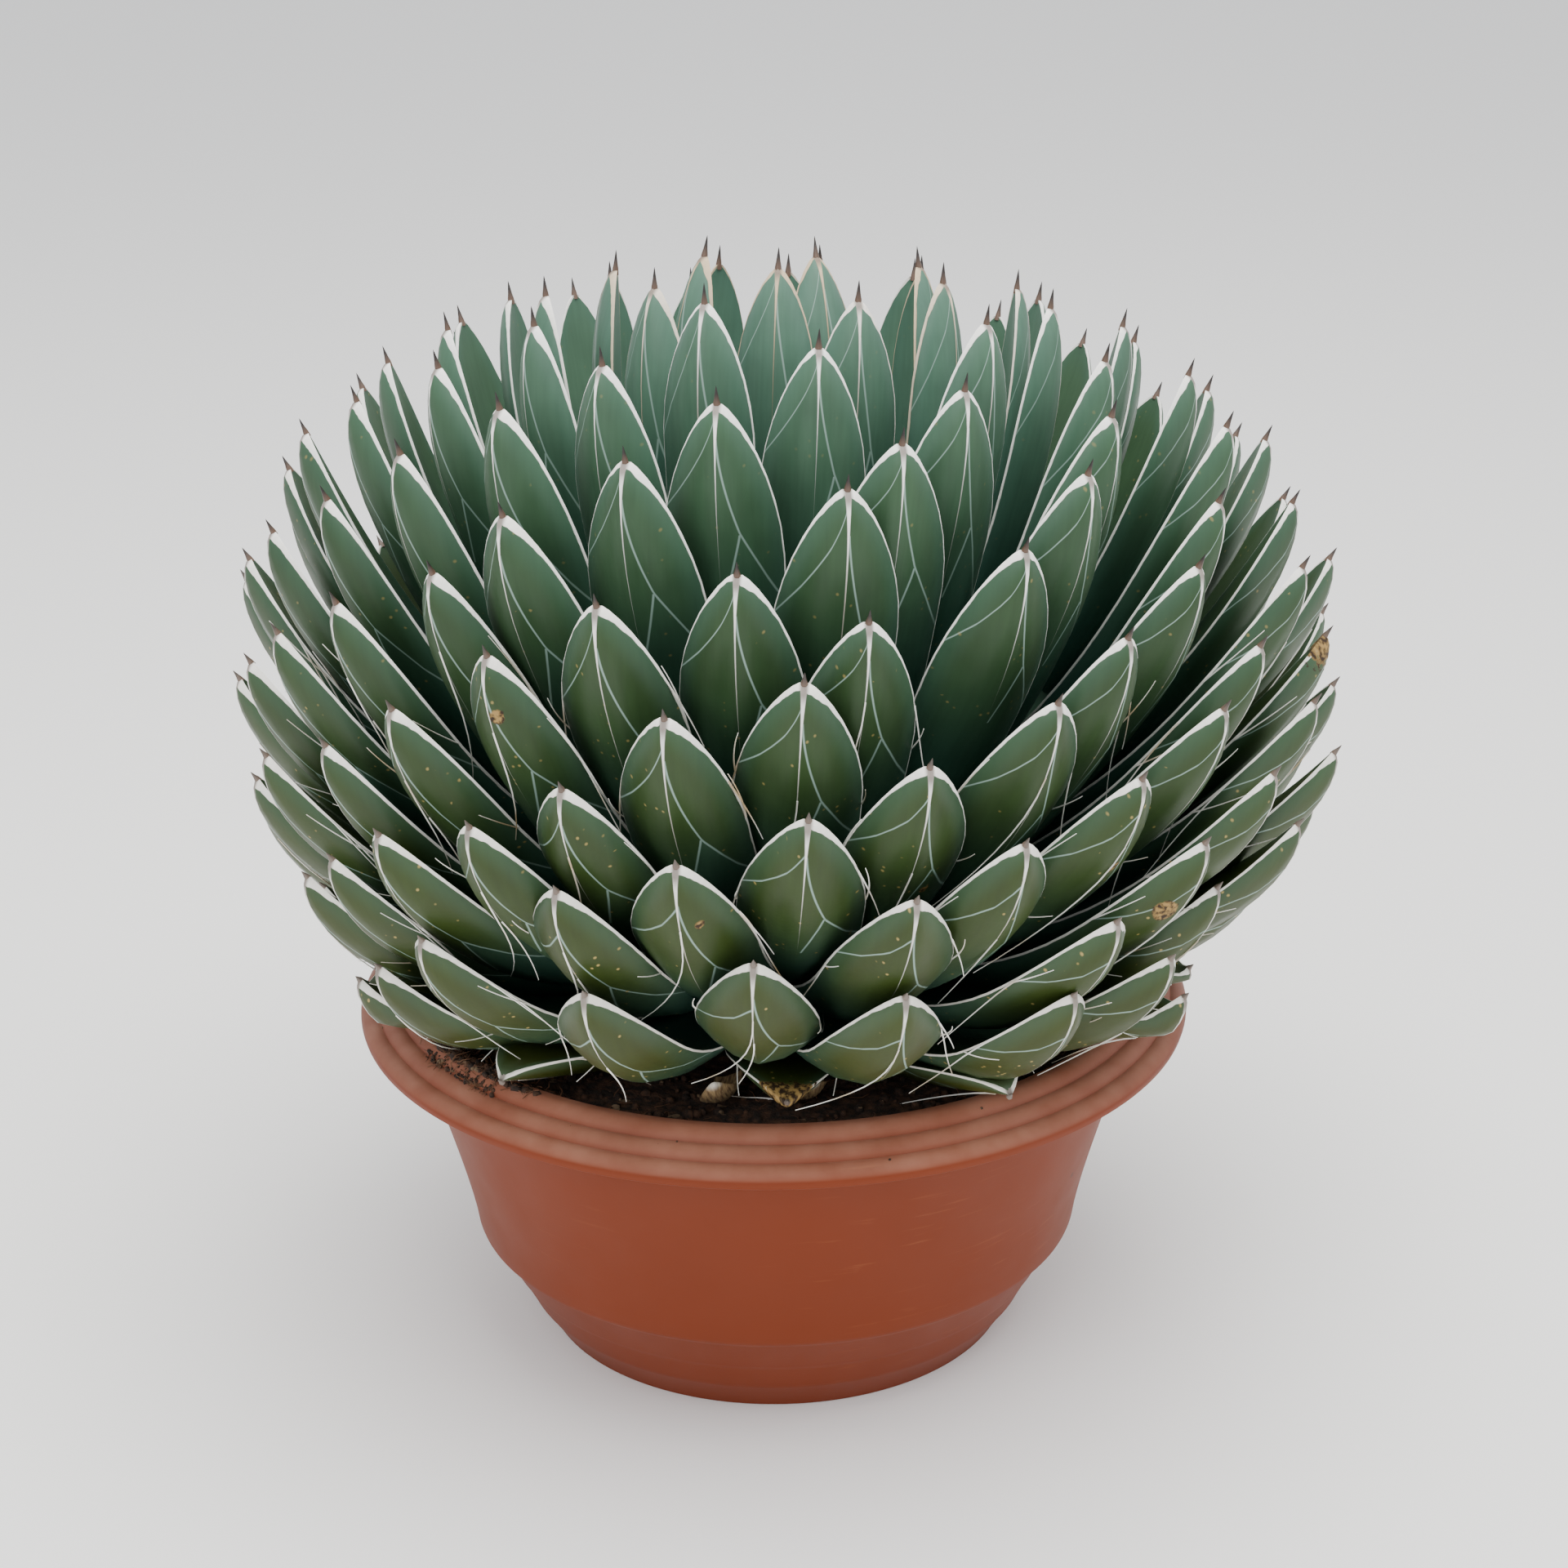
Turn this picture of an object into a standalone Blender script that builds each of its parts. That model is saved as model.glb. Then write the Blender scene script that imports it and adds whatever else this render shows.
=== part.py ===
# A queen victoria agave growing in a round plastic bowl: the bowl, the soil that fills it, and the rosette.
# Metres, +Z up. The origin is the centre of the bowl's underside, and the photo looks along +Y.
import math
import random

import bmesh
import bpy
from mathutils import Matrix, Vector, noise

MM = 0.001
GAP = 0.3 * MM

# Bowl
RIM_RADIUS = 180 * MM
RIM_EDGE_HEIGHT = 144.5 * MM
LIP_RADIUS = 157 * MM
LIP_HEIGHT = 161.5 * MM
WALL_TOP_RADIUS = 160 * MM
BODY_FOOT_RADIUS = 133.5 * MM
BODY_FOOT_HEIGHT = 46.5 * MM
BAND_RADIUS = 119 * MM
BAND_HEIGHT = 27 * MM
FOOT_RADIUS = 103.5 * MM
WALL = 4 * MM
RIB_COUNT = 3
RIB_RISE = 1.2 * MM
UNDERSIDE_RECESS = 2.5 * MM
CENTRE_PAD_RADIUS = 26 * MM
FOOT_RING_WIDTH = 12 * MM
DRAIN_COUNT = 6
DRAIN_RADIUS = 6 * MM
DRAIN_CIRCLE = 58 * MM
BOWL_SIDES = 48

# Soil
SOIL_HEIGHT = 150 * MM
SOIL_BUMP = 1.1 * MM
STEM_RADIUS = 38 * MM
STEM_DEPTH = 24 * MM
SOIL_SIDES = 40
SOIL_RINGS = 7

# Rosette. Leaf 0 is the lowest, and each next one stands one divergence further round and a little higher.
# The tips lie on a dome, drawn by a curve from the crown's middle out to the girth and in to the skirt.
# The crown dips in its middle, and leans back more than the rest.
LEAF_COUNT = 226
DIVERGENCE = math.radians(137.6385)
FIRST_TURN = math.radians(302.5)
CROWN_HEIGHT = 476.5 * MM
CROWN_DIP = 10 * MM
CROWN_TILT = 0.1
CROWN_SHARE = 0.35
CROWN_REACH = 228 * MM
GIRTH_REACH = 288 * MM
GIRTH_HEIGHT = 292 * MM
SKIRT_REACH = 175 * MM
SKIRT_HEIGHT = 157 * MM
SPACING_POWER = 0.53
SPACING_EASE = -0.33
BUD_COUNT = 10
BUD_REACH = 16 * MM
BUD_HEIGHT = 446 * MM
STEM_PLACE = Vector((2.4 * MM, -5.8 * MM, 160 * MM))
LEAN_BACK = math.radians(5.6)
LEAN_RIGHT = math.radians(1.9)

# Low leaves that were trimmed away, and the leaves that grew a little off their place in the spiral:
# how far each is turned (degrees), raised (mm) and lengthened (mm).
TRIMMED = (3, 5, 8, 13, 16, 21, 24, 39, 55, 58, 63)
OFF_PLACE = {
    0: (0, -14, -8),
    11: (1, -26, -20),
    18: (0, 0, -13),
    27: (0, -8, -12),
    29: (1, -40, -54),
    31: (0, 0, -14),
    34: (0, 9, 0),
    37: (-1, 8, 0),
    40: (0, 0, -10),
    42: (1, 7, 0),
    45: (0, 6, 0),
    50: (6.3, 10, 0),
    52: (0, 0, -13),
    60: (0, 0, -12),
    68: (0, -6, 0),
    71: (-3, 4, 0),
    92: (0, -7, 0),
    100: (0, -5, -5),
    105: (-2, -6, 0),
    118: (-2, 3, 0),
    123: (2.5, 0, 0),
    126: (0, 7, 0),
    131: (-1.5, -3, 0),
    139: (0, 9, 0),
    144: (-5.5, 0, 0),
    152: (2.4, 0, 0),
    160: (-1.5, -2, 0),
    165: (2.3, 8, 0),
    186: (-2, 0, 0),
    207: (0, 4, 0),
}

# The stem end of a leaf, and the core that the leaves stand out of
TOP_ROOT_HEIGHT = 252 * MM
LOW_ROOT_HEIGHT = 163 * MM
ROOT_REACH = 40 * MM
CORE_RADIUS = 122 * MM
CORE_TOP = 192 * MM
CORE_SIDES = 24

# One leaf
LEAF_WIDTH = 48 * MM
LEAF_THICK = 14 * MM
SPINE_LENGTH = 8 * MM
YOUNG_TAPER = 60 * MM
OLD_TAPER = 42 * MM
KEEL_TAPER = 42 * MM
ROOT_BEND = math.radians(32)
TIP_BEND = math.radians(18)
OLD_BEND = math.radians(27)
ROOT_HANDLE = 0.33
TIP_HANDLE = 0.42
LAYER_STEP = 0.15 * MM
LEAF_STATIONS = (0.3, 0.66, 0.86, 0.965)
TURN_JITTER = math.radians(1.0)
REACH_JITTER = 0.015
TWIST_JITTER = math.radians(4)
SEED = 19


# The scene starts empty.
def clear_scene():
    for old in list(bpy.data.objects):
        bpy.data.objects.remove(old, do_unlink=True)


def hex_to_linear(code):
    channels = [int(code[i:i + 2], 16) / 255 for i in (0, 2, 4)]
    return [c / 12.92 if c <= 0.04045 else ((c + 0.055) / 1.055) ** 2.4 for c in channels] + [1.0]


def make_material(name, code, roughness):
    material = bpy.data.materials.new(name)
    material.use_nodes = True
    shader = material.node_tree.nodes["Principled BSDF"]
    shader.inputs["Base Color"].default_value = hex_to_linear(code)
    shader.inputs["Roughness"].default_value = roughness
    return material


def mesh_object(name, verts, faces, material=None):
    mesh = bpy.data.meshes.new(name)
    mesh.from_pydata(verts, [], faces)
    bm = bmesh.new()
    bm.from_mesh(mesh)
    bmesh.ops.recalc_face_normals(bm, faces=bm.faces)
    bm.to_mesh(mesh)
    bm.free()
    obj = bpy.data.objects.new(name, mesh)
    bpy.context.scene.collection.objects.link(obj)
    if material:
        mesh.materials.append(material)
    return obj


# A closed solid turned round Z from an outline of (radius, height) points that starts and ends on the axis.
def turned_solid(name, outline, sides, material):
    verts = []
    rings = []
    for radius, height in outline:
        if radius < 1e-6:
            rings.append([len(verts)])
            verts.append((0, 0, height))
            continue
        rings.append(list(range(len(verts), len(verts) + sides)))
        for k in range(sides):
            turn = 2 * math.pi * k / sides
            verts.append((radius * math.cos(turn), radius * math.sin(turn), height))
    return mesh_object(name, verts, ring_faces(rings), material)


# Quads between rings of one size, and fans where a ring is a single point.
def ring_faces(rings):
    faces = []
    for low, high in zip(rings, rings[1:]):
        count = max(len(low), len(high))
        for k in range(count):
            corners = [
                low[k % len(low)],
                low[(k + 1) % len(low)],
                high[(k + 1) % len(high)],
                high[k % len(high)],
            ]
            faces.append(list(dict.fromkeys(corners)))
    return faces


# The rim's ribbed top, from its outer edge up and in to the lip: one low arch for each rib.
def rim_ribs():
    points = []
    edge = Vector((RIM_RADIUS, RIM_EDGE_HEIGHT + 3 * MM))
    lip = Vector((LIP_RADIUS + 1.5 * MM, LIP_HEIGHT))
    along = lip - edge
    out = Vector((-along.y, along.x)).normalized() * -1
    for rib in range(RIB_COUNT):
        for step, rise in ((0.0, 0.0), (0.22, 1.0), (0.72, 1.0)):
            part = (rib + step) / RIB_COUNT
            points.append(edge + along * part + out * RIB_RISE * rise)
    points.append(lip)
    return [(p.x, p.y) for p in points]


# The bowl's outside, from the middle of the underside out and up to the lip.
def bowl_outside():
    ring_inner = FOOT_RADIUS - FOOT_RING_WIDTH
    under = [
        (0, 0),
        (CENTRE_PAD_RADIUS, 0),
        (CENTRE_PAD_RADIUS + 1 * MM, UNDERSIDE_RECESS),
        (ring_inner - 1 * MM, UNDERSIDE_RECESS),
        (ring_inner, 0),
        (FOOT_RADIUS - 1 * MM, 0),
        (FOOT_RADIUS, 1 * MM),
    ]
    bands = [
        (BAND_RADIUS - 7 * MM, BAND_HEIGHT - 13 * MM),
        (BAND_RADIUS - 6 * MM, BAND_HEIGHT - 11 * MM),
        (BAND_RADIUS, BAND_HEIGHT),
        (BAND_RADIUS + 1 * MM, BAND_HEIGHT + 1.5 * MM),
        (BODY_FOOT_RADIUS - 6 * MM, BODY_FOOT_HEIGHT - 4 * MM),
        (BODY_FOOT_RADIUS - 1 * MM, BODY_FOOT_HEIGHT),
        (BODY_FOOT_RADIUS, BODY_FOOT_HEIGHT + 2 * MM),
    ]
    wall = [
        (BODY_FOOT_RADIUS + 3 * MM, 66 * MM),
        (BODY_FOOT_RADIUS + 10.5 * MM, 92 * MM),
        (WALL_TOP_RADIUS - 6 * MM, 124 * MM),
        (WALL_TOP_RADIUS, RIM_EDGE_HEIGHT - 1 * MM),
    ]
    flange = [
        (RIM_RADIUS - 5 * MM, RIM_EDGE_HEIGHT - 0.5 * MM),
        (RIM_RADIUS - 1 * MM, RIM_EDGE_HEIGHT - 1 * MM),
    ]
    return under + bands + wall + flange + rim_ribs()


# The bowl's inside, from the lip down to the middle of the floor.
def bowl_inside():
    return [
        (LIP_RADIUS - 1.5 * MM, LIP_HEIGHT - 0.5 * MM),
        (LIP_RADIUS - 2.5 * MM, LIP_HEIGHT - 2 * MM),
        (WALL_TOP_RADIUS - 1.2 * WALL, RIM_EDGE_HEIGHT),
        (BODY_FOOT_RADIUS + 10.5 * MM - WALL, 92 * MM),
        (BODY_FOOT_RADIUS - WALL, BODY_FOOT_HEIGHT + 3 * MM),
        (BAND_RADIUS - WALL, BAND_HEIGHT + 3 * MM),
        (FOOT_RADIUS - 2 * MM, UNDERSIDE_RECESS + 1.4 * WALL),
        (FOOT_RADIUS - 2 * WALL, UNDERSIDE_RECESS + WALL),
        (0, UNDERSIDE_RECESS + WALL),
    ]


def cylinder(name, radius, low, high, sides, place):
    verts = []
    for height in (low, high):
        for k in range(sides):
            turn = 2 * math.pi * k / sides
            verts.append((place[0] + radius * math.cos(turn), place[1] + radius * math.sin(turn), height))
    sides_faces = [[k, (k + 1) % sides, sides + (k + 1) % sides, sides + k] for k in range(sides)]
    ends = [list(range(sides)), list(range(sides, 2 * sides))]
    return mesh_object(name, verts, sides_faces + ends)


# Joins or cuts with every object of a collection at once, applies it and removes those objects.
def boolean_with(obj, tools, operation):
    group = bpy.data.collections.new(obj.name + "_tools")
    bpy.context.scene.collection.children.link(group)
    for tool in tools:
        group.objects.link(tool)
        bpy.context.scene.collection.objects.unlink(tool)
    boolean = obj.modifiers.new("boolean", "BOOLEAN")
    boolean.operation = operation
    boolean.operand_type = "COLLECTION"
    boolean.collection = group
    boolean.solver = "EXACT"
    bpy.context.view_layer.update()
    evaluated = obj.evaluated_get(bpy.context.evaluated_depsgraph_get())
    result = bpy.data.meshes.new_from_object(evaluated)
    obj.modifiers.clear()
    obj.data = result
    for tool in tools:
        bpy.data.objects.remove(tool, do_unlink=True)
    bpy.data.collections.remove(group)


def make_bowl():
    material = make_material("terracotta_plastic", "9a5437", 0.5)
    bowl = turned_solid("bowl", bowl_outside() + bowl_inside(), BOWL_SIDES, material)
    drains = []
    for k in range(DRAIN_COUNT):
        turn = 2 * math.pi * (k + 0.5) / DRAIN_COUNT
        place = (DRAIN_CIRCLE * math.cos(turn), DRAIN_CIRCLE * math.sin(turn))
        drains.append(cylinder("drain_%d" % k, DRAIN_RADIUS, -5 * MM, 20 * MM, 10, place))
    boolean_with(bowl, drains, "DIFFERENCE")
    bowl.data.shade_smooth()
    bowl.data.set_sharp_from_angle(angle=math.radians(30))
    return bowl


# Height of the soil's top at a point: nearly level, with low bumps, and lower at the wall.
def soil_top(x, y):
    bump = noise.noise(Vector((x * 45, y * 45, 3.7)))
    return SOIL_HEIGHT + SOIL_BUMP * bump


# Radius of the bowl's inside at a height, less the gap that the soil keeps to it.
def soil_radius(height):
    inside = bowl_inside()
    for (high_r, high_z), (low_r, low_z) in zip(inside, inside[1:]):
        if low_z <= height <= high_z and high_z > low_z:
            part = (height - low_z) / (high_z - low_z)
            return low_r + (high_r - low_r) * part - GAP * 1.5
    return inside[-2][0]


# The soil: one turned body with a bumpy top and a plain round hole that the stem stands in.
def make_soil():
    material = make_material("potting_soil", "2b1f1a", 0.95)
    hole = STEM_RADIUS + GAP
    floor = UNDERSIDE_RECESS + WALL + GAP
    heights = [h for r, h in bowl_inside() if floor + MM < h < SOIL_HEIGHT - 8 * MM]
    rings = [[0]]
    verts = [(STEM_PLACE.x, STEM_PLACE.y, SOIL_HEIGHT - STEM_DEPTH - GAP)]

    def add_ring(radius, height, shift, bumpy=False):
        ring = []
        for k in range(SOIL_SIDES):
            turn = 2 * math.pi * k / SOIL_SIDES
            x = STEM_PLACE.x * shift + radius * math.cos(turn)
            y = STEM_PLACE.y * shift + radius * math.sin(turn)
            ring.append(len(verts))
            verts.append((x, y, soil_top(x, y) if bumpy else height))
        rings.append(ring)

    add_ring(hole, SOIL_HEIGHT - STEM_DEPTH - GAP, 1)
    top_radius = soil_radius(SOIL_HEIGHT - 6 * MM)
    for k in range(SOIL_RINGS):
        part = k / (SOIL_RINGS - 1)
        add_ring(hole + (top_radius - hole) * part, SOIL_HEIGHT, 1 - part, bumpy=True)
    for height in sorted(heights, reverse=True):
        add_ring(soil_radius(height), height, 0)
    add_ring(FOOT_RADIUS - 2 * WALL - GAP, floor, 0)
    rings.append([len(verts)])
    verts.append((0, 0, floor))
    return mesh_object("soil", verts, ring_faces(rings), material)


# Lowest height that a leaf may reach at a distance from the bowl's axis: over the soil, then over the rim.
def clear_height(radius):
    over_soil = SOIL_HEIGHT + 1.8 * MM
    rim_slope = (LIP_HEIGHT + 2.5 * MM - over_soil) / (LIP_RADIUS - 112 * MM)
    return over_soil + max(0.0, radius - 112 * MM) * rim_slope


# From the rosette's own upright frame, with its middle at soil level, to the pot's frame.
def rosette_matrix():
    lean = Matrix.Rotation(LEAN_RIGHT, 4, "Y") @ Matrix.Rotation(-LEAN_BACK, 4, "X")
    return Matrix.Translation(STEM_PLACE) @ lean


# Reach and height of a tip on the dome, for a share of the way from the crown (0) to the skirt (1).
# A share below 0 is in the bud, the young leaves that stand close together in the middle of the crown.
def dome_point(share):
    if share < 0:
        part = -share * LEAF_COUNT / BUD_COUNT
        return Vector((BUD_REACH * (1 - part), BUD_HEIGHT - 8 * MM * part - STEM_PLACE.z))
    t = share ** SPACING_POWER
    t = t * (1 + SPACING_EASE * (1 - t))
    back = 1 - t
    reach = 3 * t * back * back * CROWN_REACH + 3 * t * t * back * GIRTH_REACH + t ** 3 * SKIRT_REACH
    height = (back ** 3 + 3 * t * back * back) * CROWN_HEIGHT - back ** 3 * CROWN_DIP
    height += 3 * t * t * back * GIRTH_HEIGHT + t ** 3 * SKIRT_HEIGHT
    return Vector((reach, height - STEM_PLACE.z))


def root_point(share):
    share = max(0.0, share)
    height = LOW_ROOT_HEIGHT + (TOP_ROOT_HEIGHT - LOW_ROOT_HEIGHT) * (1 - share)
    return Vector((ROOT_REACH * min(1.0, share * 2.5) ** 0.6, height - STEM_PLACE.z))


# The leaf's midline in its own upright plane: it leaves the stem outward and curves up, old leaves most.
def midline(root, tip, age):
    chord = tip - root
    first = root + Matrix.Rotation(-ROOT_BEND, 2) @ chord * ROOT_HANDLE
    last = tip - Matrix.Rotation(TIP_BEND + OLD_BEND * age * age, 2) @ chord * TIP_HANDLE
    return root, first, last, tip


def midline_at(points, s):
    a, b, c, d = points
    k = 1 - s
    place = a * k ** 3 + b * 3 * s * k * k + c * 3 * s * s * k + d * s ** 3
    heading = (b - a) * k * k + (c - b) * 2 * s * k + (d - c) * s * s
    return place, heading.normalized()


# A rounded end: 0 at the tip, 1 from the taper's length on, as a quarter of an ellipse.
def rounded(from_tip, taper):
    t = min(1.0, from_tip / taper)
    return math.sqrt(1 - (1 - t) ** 2)


# Half width of a leaf at a distance from its tip: oblong, blunter on old leaves, narrower at the root.
def half_width(from_tip, length, scale, share):
    end = rounded(from_tip, scale * (YOUNG_TAPER + (OLD_TAPER - YOUNG_TAPER) * share))
    blunt = end * (0.5 + 0.5 * end)
    root = 0.78 + 0.22 * min(1.0, (1 - from_tip / length) / 0.45)
    return 0.5 * LEAF_WIDTH * scale * blunt * root


# Corners of one leaf: a section with a flat face and a keel at each station, then the spine's point.
def leaf_rings(number, draw):
    share = (LEAF_COUNT - number - 0.5) / LEAF_COUNT
    age = max(0.0, share)
    scale = 0.62 + 0.38 * min(1.0, age / 0.2)
    more_turn, rise, more_reach = OFF_PLACE.get(number, (0, 0, 0))
    turn = FIRST_TURN - DIVERGENCE * number + math.radians(more_turn) + draw.uniform(-1, 1) * TURN_JITTER
    twist = draw.uniform(-1, 1) * TWIST_JITTER
    root = root_point(share)
    tip = dome_point(share) + Vector((more_reach, rise)) * MM
    tip.y -= CROWN_TILT * tip.x * math.sin(turn) * max(0.0, 1 - age / CROWN_SHARE)
    tip = root + (tip - root) * (1 + draw.uniform(-1, 1) * REACH_JITTER)
    spine = SPINE_LENGTH * (1 - 0.75 * age)
    curve = midline(root, tip, age)
    length = (tip - root).length
    out = Vector((math.cos(turn), math.sin(turn), 0))
    side = Vector((-math.sin(turn), math.cos(turn), 0))
    rings = []
    for s in LEAF_STATIONS:
        place, heading = midline_at(curve, s)
        middle = out * place.x + Vector((0, 0, place.y))
        face = out * -heading.y + Vector((0, 0, heading.x))
        across = side * math.cos(twist) + face * math.sin(twist)
        normal = face * math.cos(twist) - side * math.sin(twist)
        from_tip = (1 - s) * length
        wide = half_width(from_tip, length, scale, age)
        deep = LEAF_THICK * scale * rounded(from_tip, KEEL_TAPER)
        rings.append([middle + across * wide, middle - across * wide, middle - normal * deep])
    heading = midline_at(curve, 1)[1]
    end = out * (tip.x + heading.x * spine) + Vector((0, 0, tip.y + heading.y * spine))
    return rings, end


# A low leaf is bent up, section by section, until it clears what is under it.
def make_leaf(number, draw, frame):
    rings, end = leaf_rings(number, draw)
    verts = []
    for ring in rings + [[end]]:
        corners = [frame @ corner for corner in ring]
        need = max(clear_height(math.hypot(v.x, v.y)) + LAYER_STEP * number - v.z for v in corners)
        verts += [v + Vector((0, 0, max(0.0, need))) for v in corners]
    corners = len(rings[0])
    faces = [list(range(corners))]
    for k in range(0, corners * (len(rings) - 1), corners):
        for j in range(corners):
            a, b = k + j, k + (j + 1) % corners
            faces.append([a, b, b + corners, a + corners])
    last = len(verts) - 1 - corners
    for j in range(corners):
        faces.append([last + j, last + (j + 1) % corners, len(verts) - 1])
    return mesh_object("leaf_%d" % number, verts, faces)


# The short stem and the packed leaf bases round it, as one turned body that stands in the soil's hole.
def make_core(frame, material):
    stem_low = SOIL_HEIGHT - STEM_DEPTH - STEM_PLACE.z
    stem_top = SOIL_HEIGHT + 1.5 * MM - STEM_PLACE.z
    outline = [(0.0, stem_low), (STEM_RADIUS, stem_low), (STEM_RADIUS, stem_top)]
    steps = 6
    for k in range(steps):
        rise = math.pi * (k / steps * 0.74 - 0.24)
        radius = CORE_RADIUS * math.cos(rise)
        height = CORE_TOP * (0.52 + 0.48 * math.sin(rise))
        outline.append((radius, height))
    outline.append((0.0, CORE_TOP))
    core = turned_solid("rosette", outline, CORE_SIDES, material)
    upright = Matrix.Translation(STEM_PLACE)
    for v in core.data.vertices:
        v.co = (frame if v.co.z > 0 else upright) @ v.co
    return core


# Keeps the largest shell of a fused mesh: sealed hollows inside it and loose scraps beside it go.
def keep_largest_shell(obj):
    bm = bmesh.new()
    bm.from_mesh(obj.data)
    unseen = set(bm.verts)
    shells = []
    while unseen:
        shell = []
        front = [unseen.pop()]
        while front:
            vert = front.pop()
            shell.append(vert)
            for edge in vert.link_edges:
                other = edge.other_vert(vert)
                if other in unseen:
                    unseen.remove(other)
                    front.append(other)
        shells.append(shell)
    shells.sort(key=len)
    for shell in shells[:-1]:
        bmesh.ops.delete(bm, geom=shell, context="VERTS")
    bmesh.ops.triangulate(bm, faces=bm.faces)
    bm.to_mesh(obj.data)
    bm.free()


def make_rosette():
    material = make_material("agave_leaf", "4f7650", 0.45)
    frame = rosette_matrix()
    draw = random.Random(SEED)
    core = make_core(frame, material)
    grown = [number for number in range(LEAF_COUNT + BUD_COUNT) if number not in TRIMMED]
    leaves = [make_leaf(number, draw, frame) for number in grown]
    boolean_with(core, leaves, "UNION")
    keep_largest_shell(core)
    return core


def main():
    clear_scene()
    make_bowl()
    make_soil()
    make_rosette()


main()
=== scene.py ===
# Queen victoria agave in a terracotta-coloured bowl: the looks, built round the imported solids.
import math
import random

import bmesh
import bpy
from mathutils import Matrix, Vector, noise


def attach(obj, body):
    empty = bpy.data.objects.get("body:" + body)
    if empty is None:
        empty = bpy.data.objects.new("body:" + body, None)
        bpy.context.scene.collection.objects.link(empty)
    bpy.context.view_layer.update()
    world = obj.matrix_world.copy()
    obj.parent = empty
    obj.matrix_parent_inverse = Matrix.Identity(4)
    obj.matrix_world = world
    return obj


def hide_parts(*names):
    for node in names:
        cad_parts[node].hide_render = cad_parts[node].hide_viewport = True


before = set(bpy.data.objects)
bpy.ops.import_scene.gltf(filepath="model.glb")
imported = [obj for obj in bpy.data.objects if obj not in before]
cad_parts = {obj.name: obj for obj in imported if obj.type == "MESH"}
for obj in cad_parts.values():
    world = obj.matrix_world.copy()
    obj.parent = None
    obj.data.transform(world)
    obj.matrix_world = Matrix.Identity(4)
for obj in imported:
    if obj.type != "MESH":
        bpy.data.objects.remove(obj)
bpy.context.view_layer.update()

mm = 0.001
print("frame loaded")


def hexLinear(code, alpha=1.0):
    parts = [int(code[i:i + 2], 16) / 255 for i in (0, 2, 4)]
    return [c / 12.92 if c <= 0.04045 else ((c + 0.055) / 1.055) ** 2.4 for c in parts] + [alpha]


# adds a node, sets it, feeds its inputs with values or links, and hands back its first live output;
# a kind without the word Node in it is a shader node, and a second word in it is the node's operation
def addNode(tree, kind, feeds=(), **settings):
    kind, _, operation = kind.partition(" ")
    node = tree.nodes.new(kind if "Node" in kind else "ShaderNode" + kind)
    if operation:
        node.operation = operation
    for key, value in settings.items():
        setattr(node, key, value)
    live = [socket for socket in node.inputs if socket.enabled]
    pairs = feeds.items() if isinstance(feeds, dict) else enumerate(feeds)
    for key, value in pairs:
        socket = live[key] if isinstance(key, int) else node.inputs[key]
        if isinstance(value, bpy.types.NodeSocket):
            tree.links.new(value, socket)
        elif value is not None:
            socket.default_value = value
    return next((socket for socket in node.outputs if socket.enabled), None)


# 1 where a value is below a limit, 0 above it, with a soft edge
def below(tree, value, limit, soft):
    over = addNode(tree, "Math SUBTRACT", [value, limit])
    return addNode(tree, "MapRange",
                   {"Value": over, "From Min": -soft, "From Max": soft, "To Min": 1.0, "To Max": 0.0},
                   interpolation_type="SMOOTHSTEP")


# a colour made lighter and darker by a value between 0 and 1
def mottle(tree, colour, value, amount):
    bright = addNode(tree, "MapRange", {"Value": value, "To Min": 1 - amount, "To Max": 1 + amount})
    return addNode(tree, "HueSaturation", {"Color": colour, "Value": bright})


def newMaterial(name):
    material = bpy.data.materials.new(name)
    material.use_nodes = True
    tree = material.node_tree
    return material, tree, tree.nodes["Principled BSDF"]


def linkObject(name, mesh, material=None):
    piece = bpy.data.objects.new(name, mesh)
    bpy.context.scene.collection.objects.link(piece)
    if material:
        mesh.materials.clear()
        mesh.materials.append(material)
    return piece


def meshFrom(name, verts, faces):
    mesh = bpy.data.meshes.new(name)
    mesh.from_pydata(verts, [], faces)
    mesh.shade_smooth()
    return mesh


# camera and light

view = {
    "lookAt": (0.0053, 0, 0.2437),
    "distance": 1.4,
    "pitch": math.radians(21.29),
    "roll": math.radians(-0.5),
    "focalPixels": 4001,
    "imagePixels": 1920,
    "sensor": 36,
}


def makeCamera():
    data = bpy.data.cameras.new("camera")
    data.sensor_width = view["sensor"]
    data.lens = view["focalPixels"] / view["imagePixels"] * view["sensor"]
    camera = bpy.data.objects.new("camera", data)
    bpy.context.scene.collection.objects.link(camera)
    pitch = view["pitch"]
    away = Vector((0, -math.cos(pitch), math.sin(pitch))) * view["distance"]
    turn = Matrix.Rotation(math.pi / 2 - pitch, 4, "X") @ Matrix.Rotation(view["roll"], 4, "Z")
    camera.matrix_world = Matrix.Translation(Vector(view["lookAt"]) + away) @ turn
    bpy.context.scene.camera = camera


studio = {
    "floorHex": "f4f3f1",
    "floorSize": 12.0,
    "worldHex": "f3f5f8",
    "worldPower": 1.2,
    # name: place, size, watts, colour
    "lamps": {
        "overhead": ((0.1, -0.2, 2.1), 1.8, 62, "fffdf8"),
        "front": ((-0.9, -2.1, 1.5), 1.6, 24, "fbfcff"),
        "side": ((1.9, -0.6, 1.2), 1.2, 10, "f6faff"),
    },
}


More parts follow.
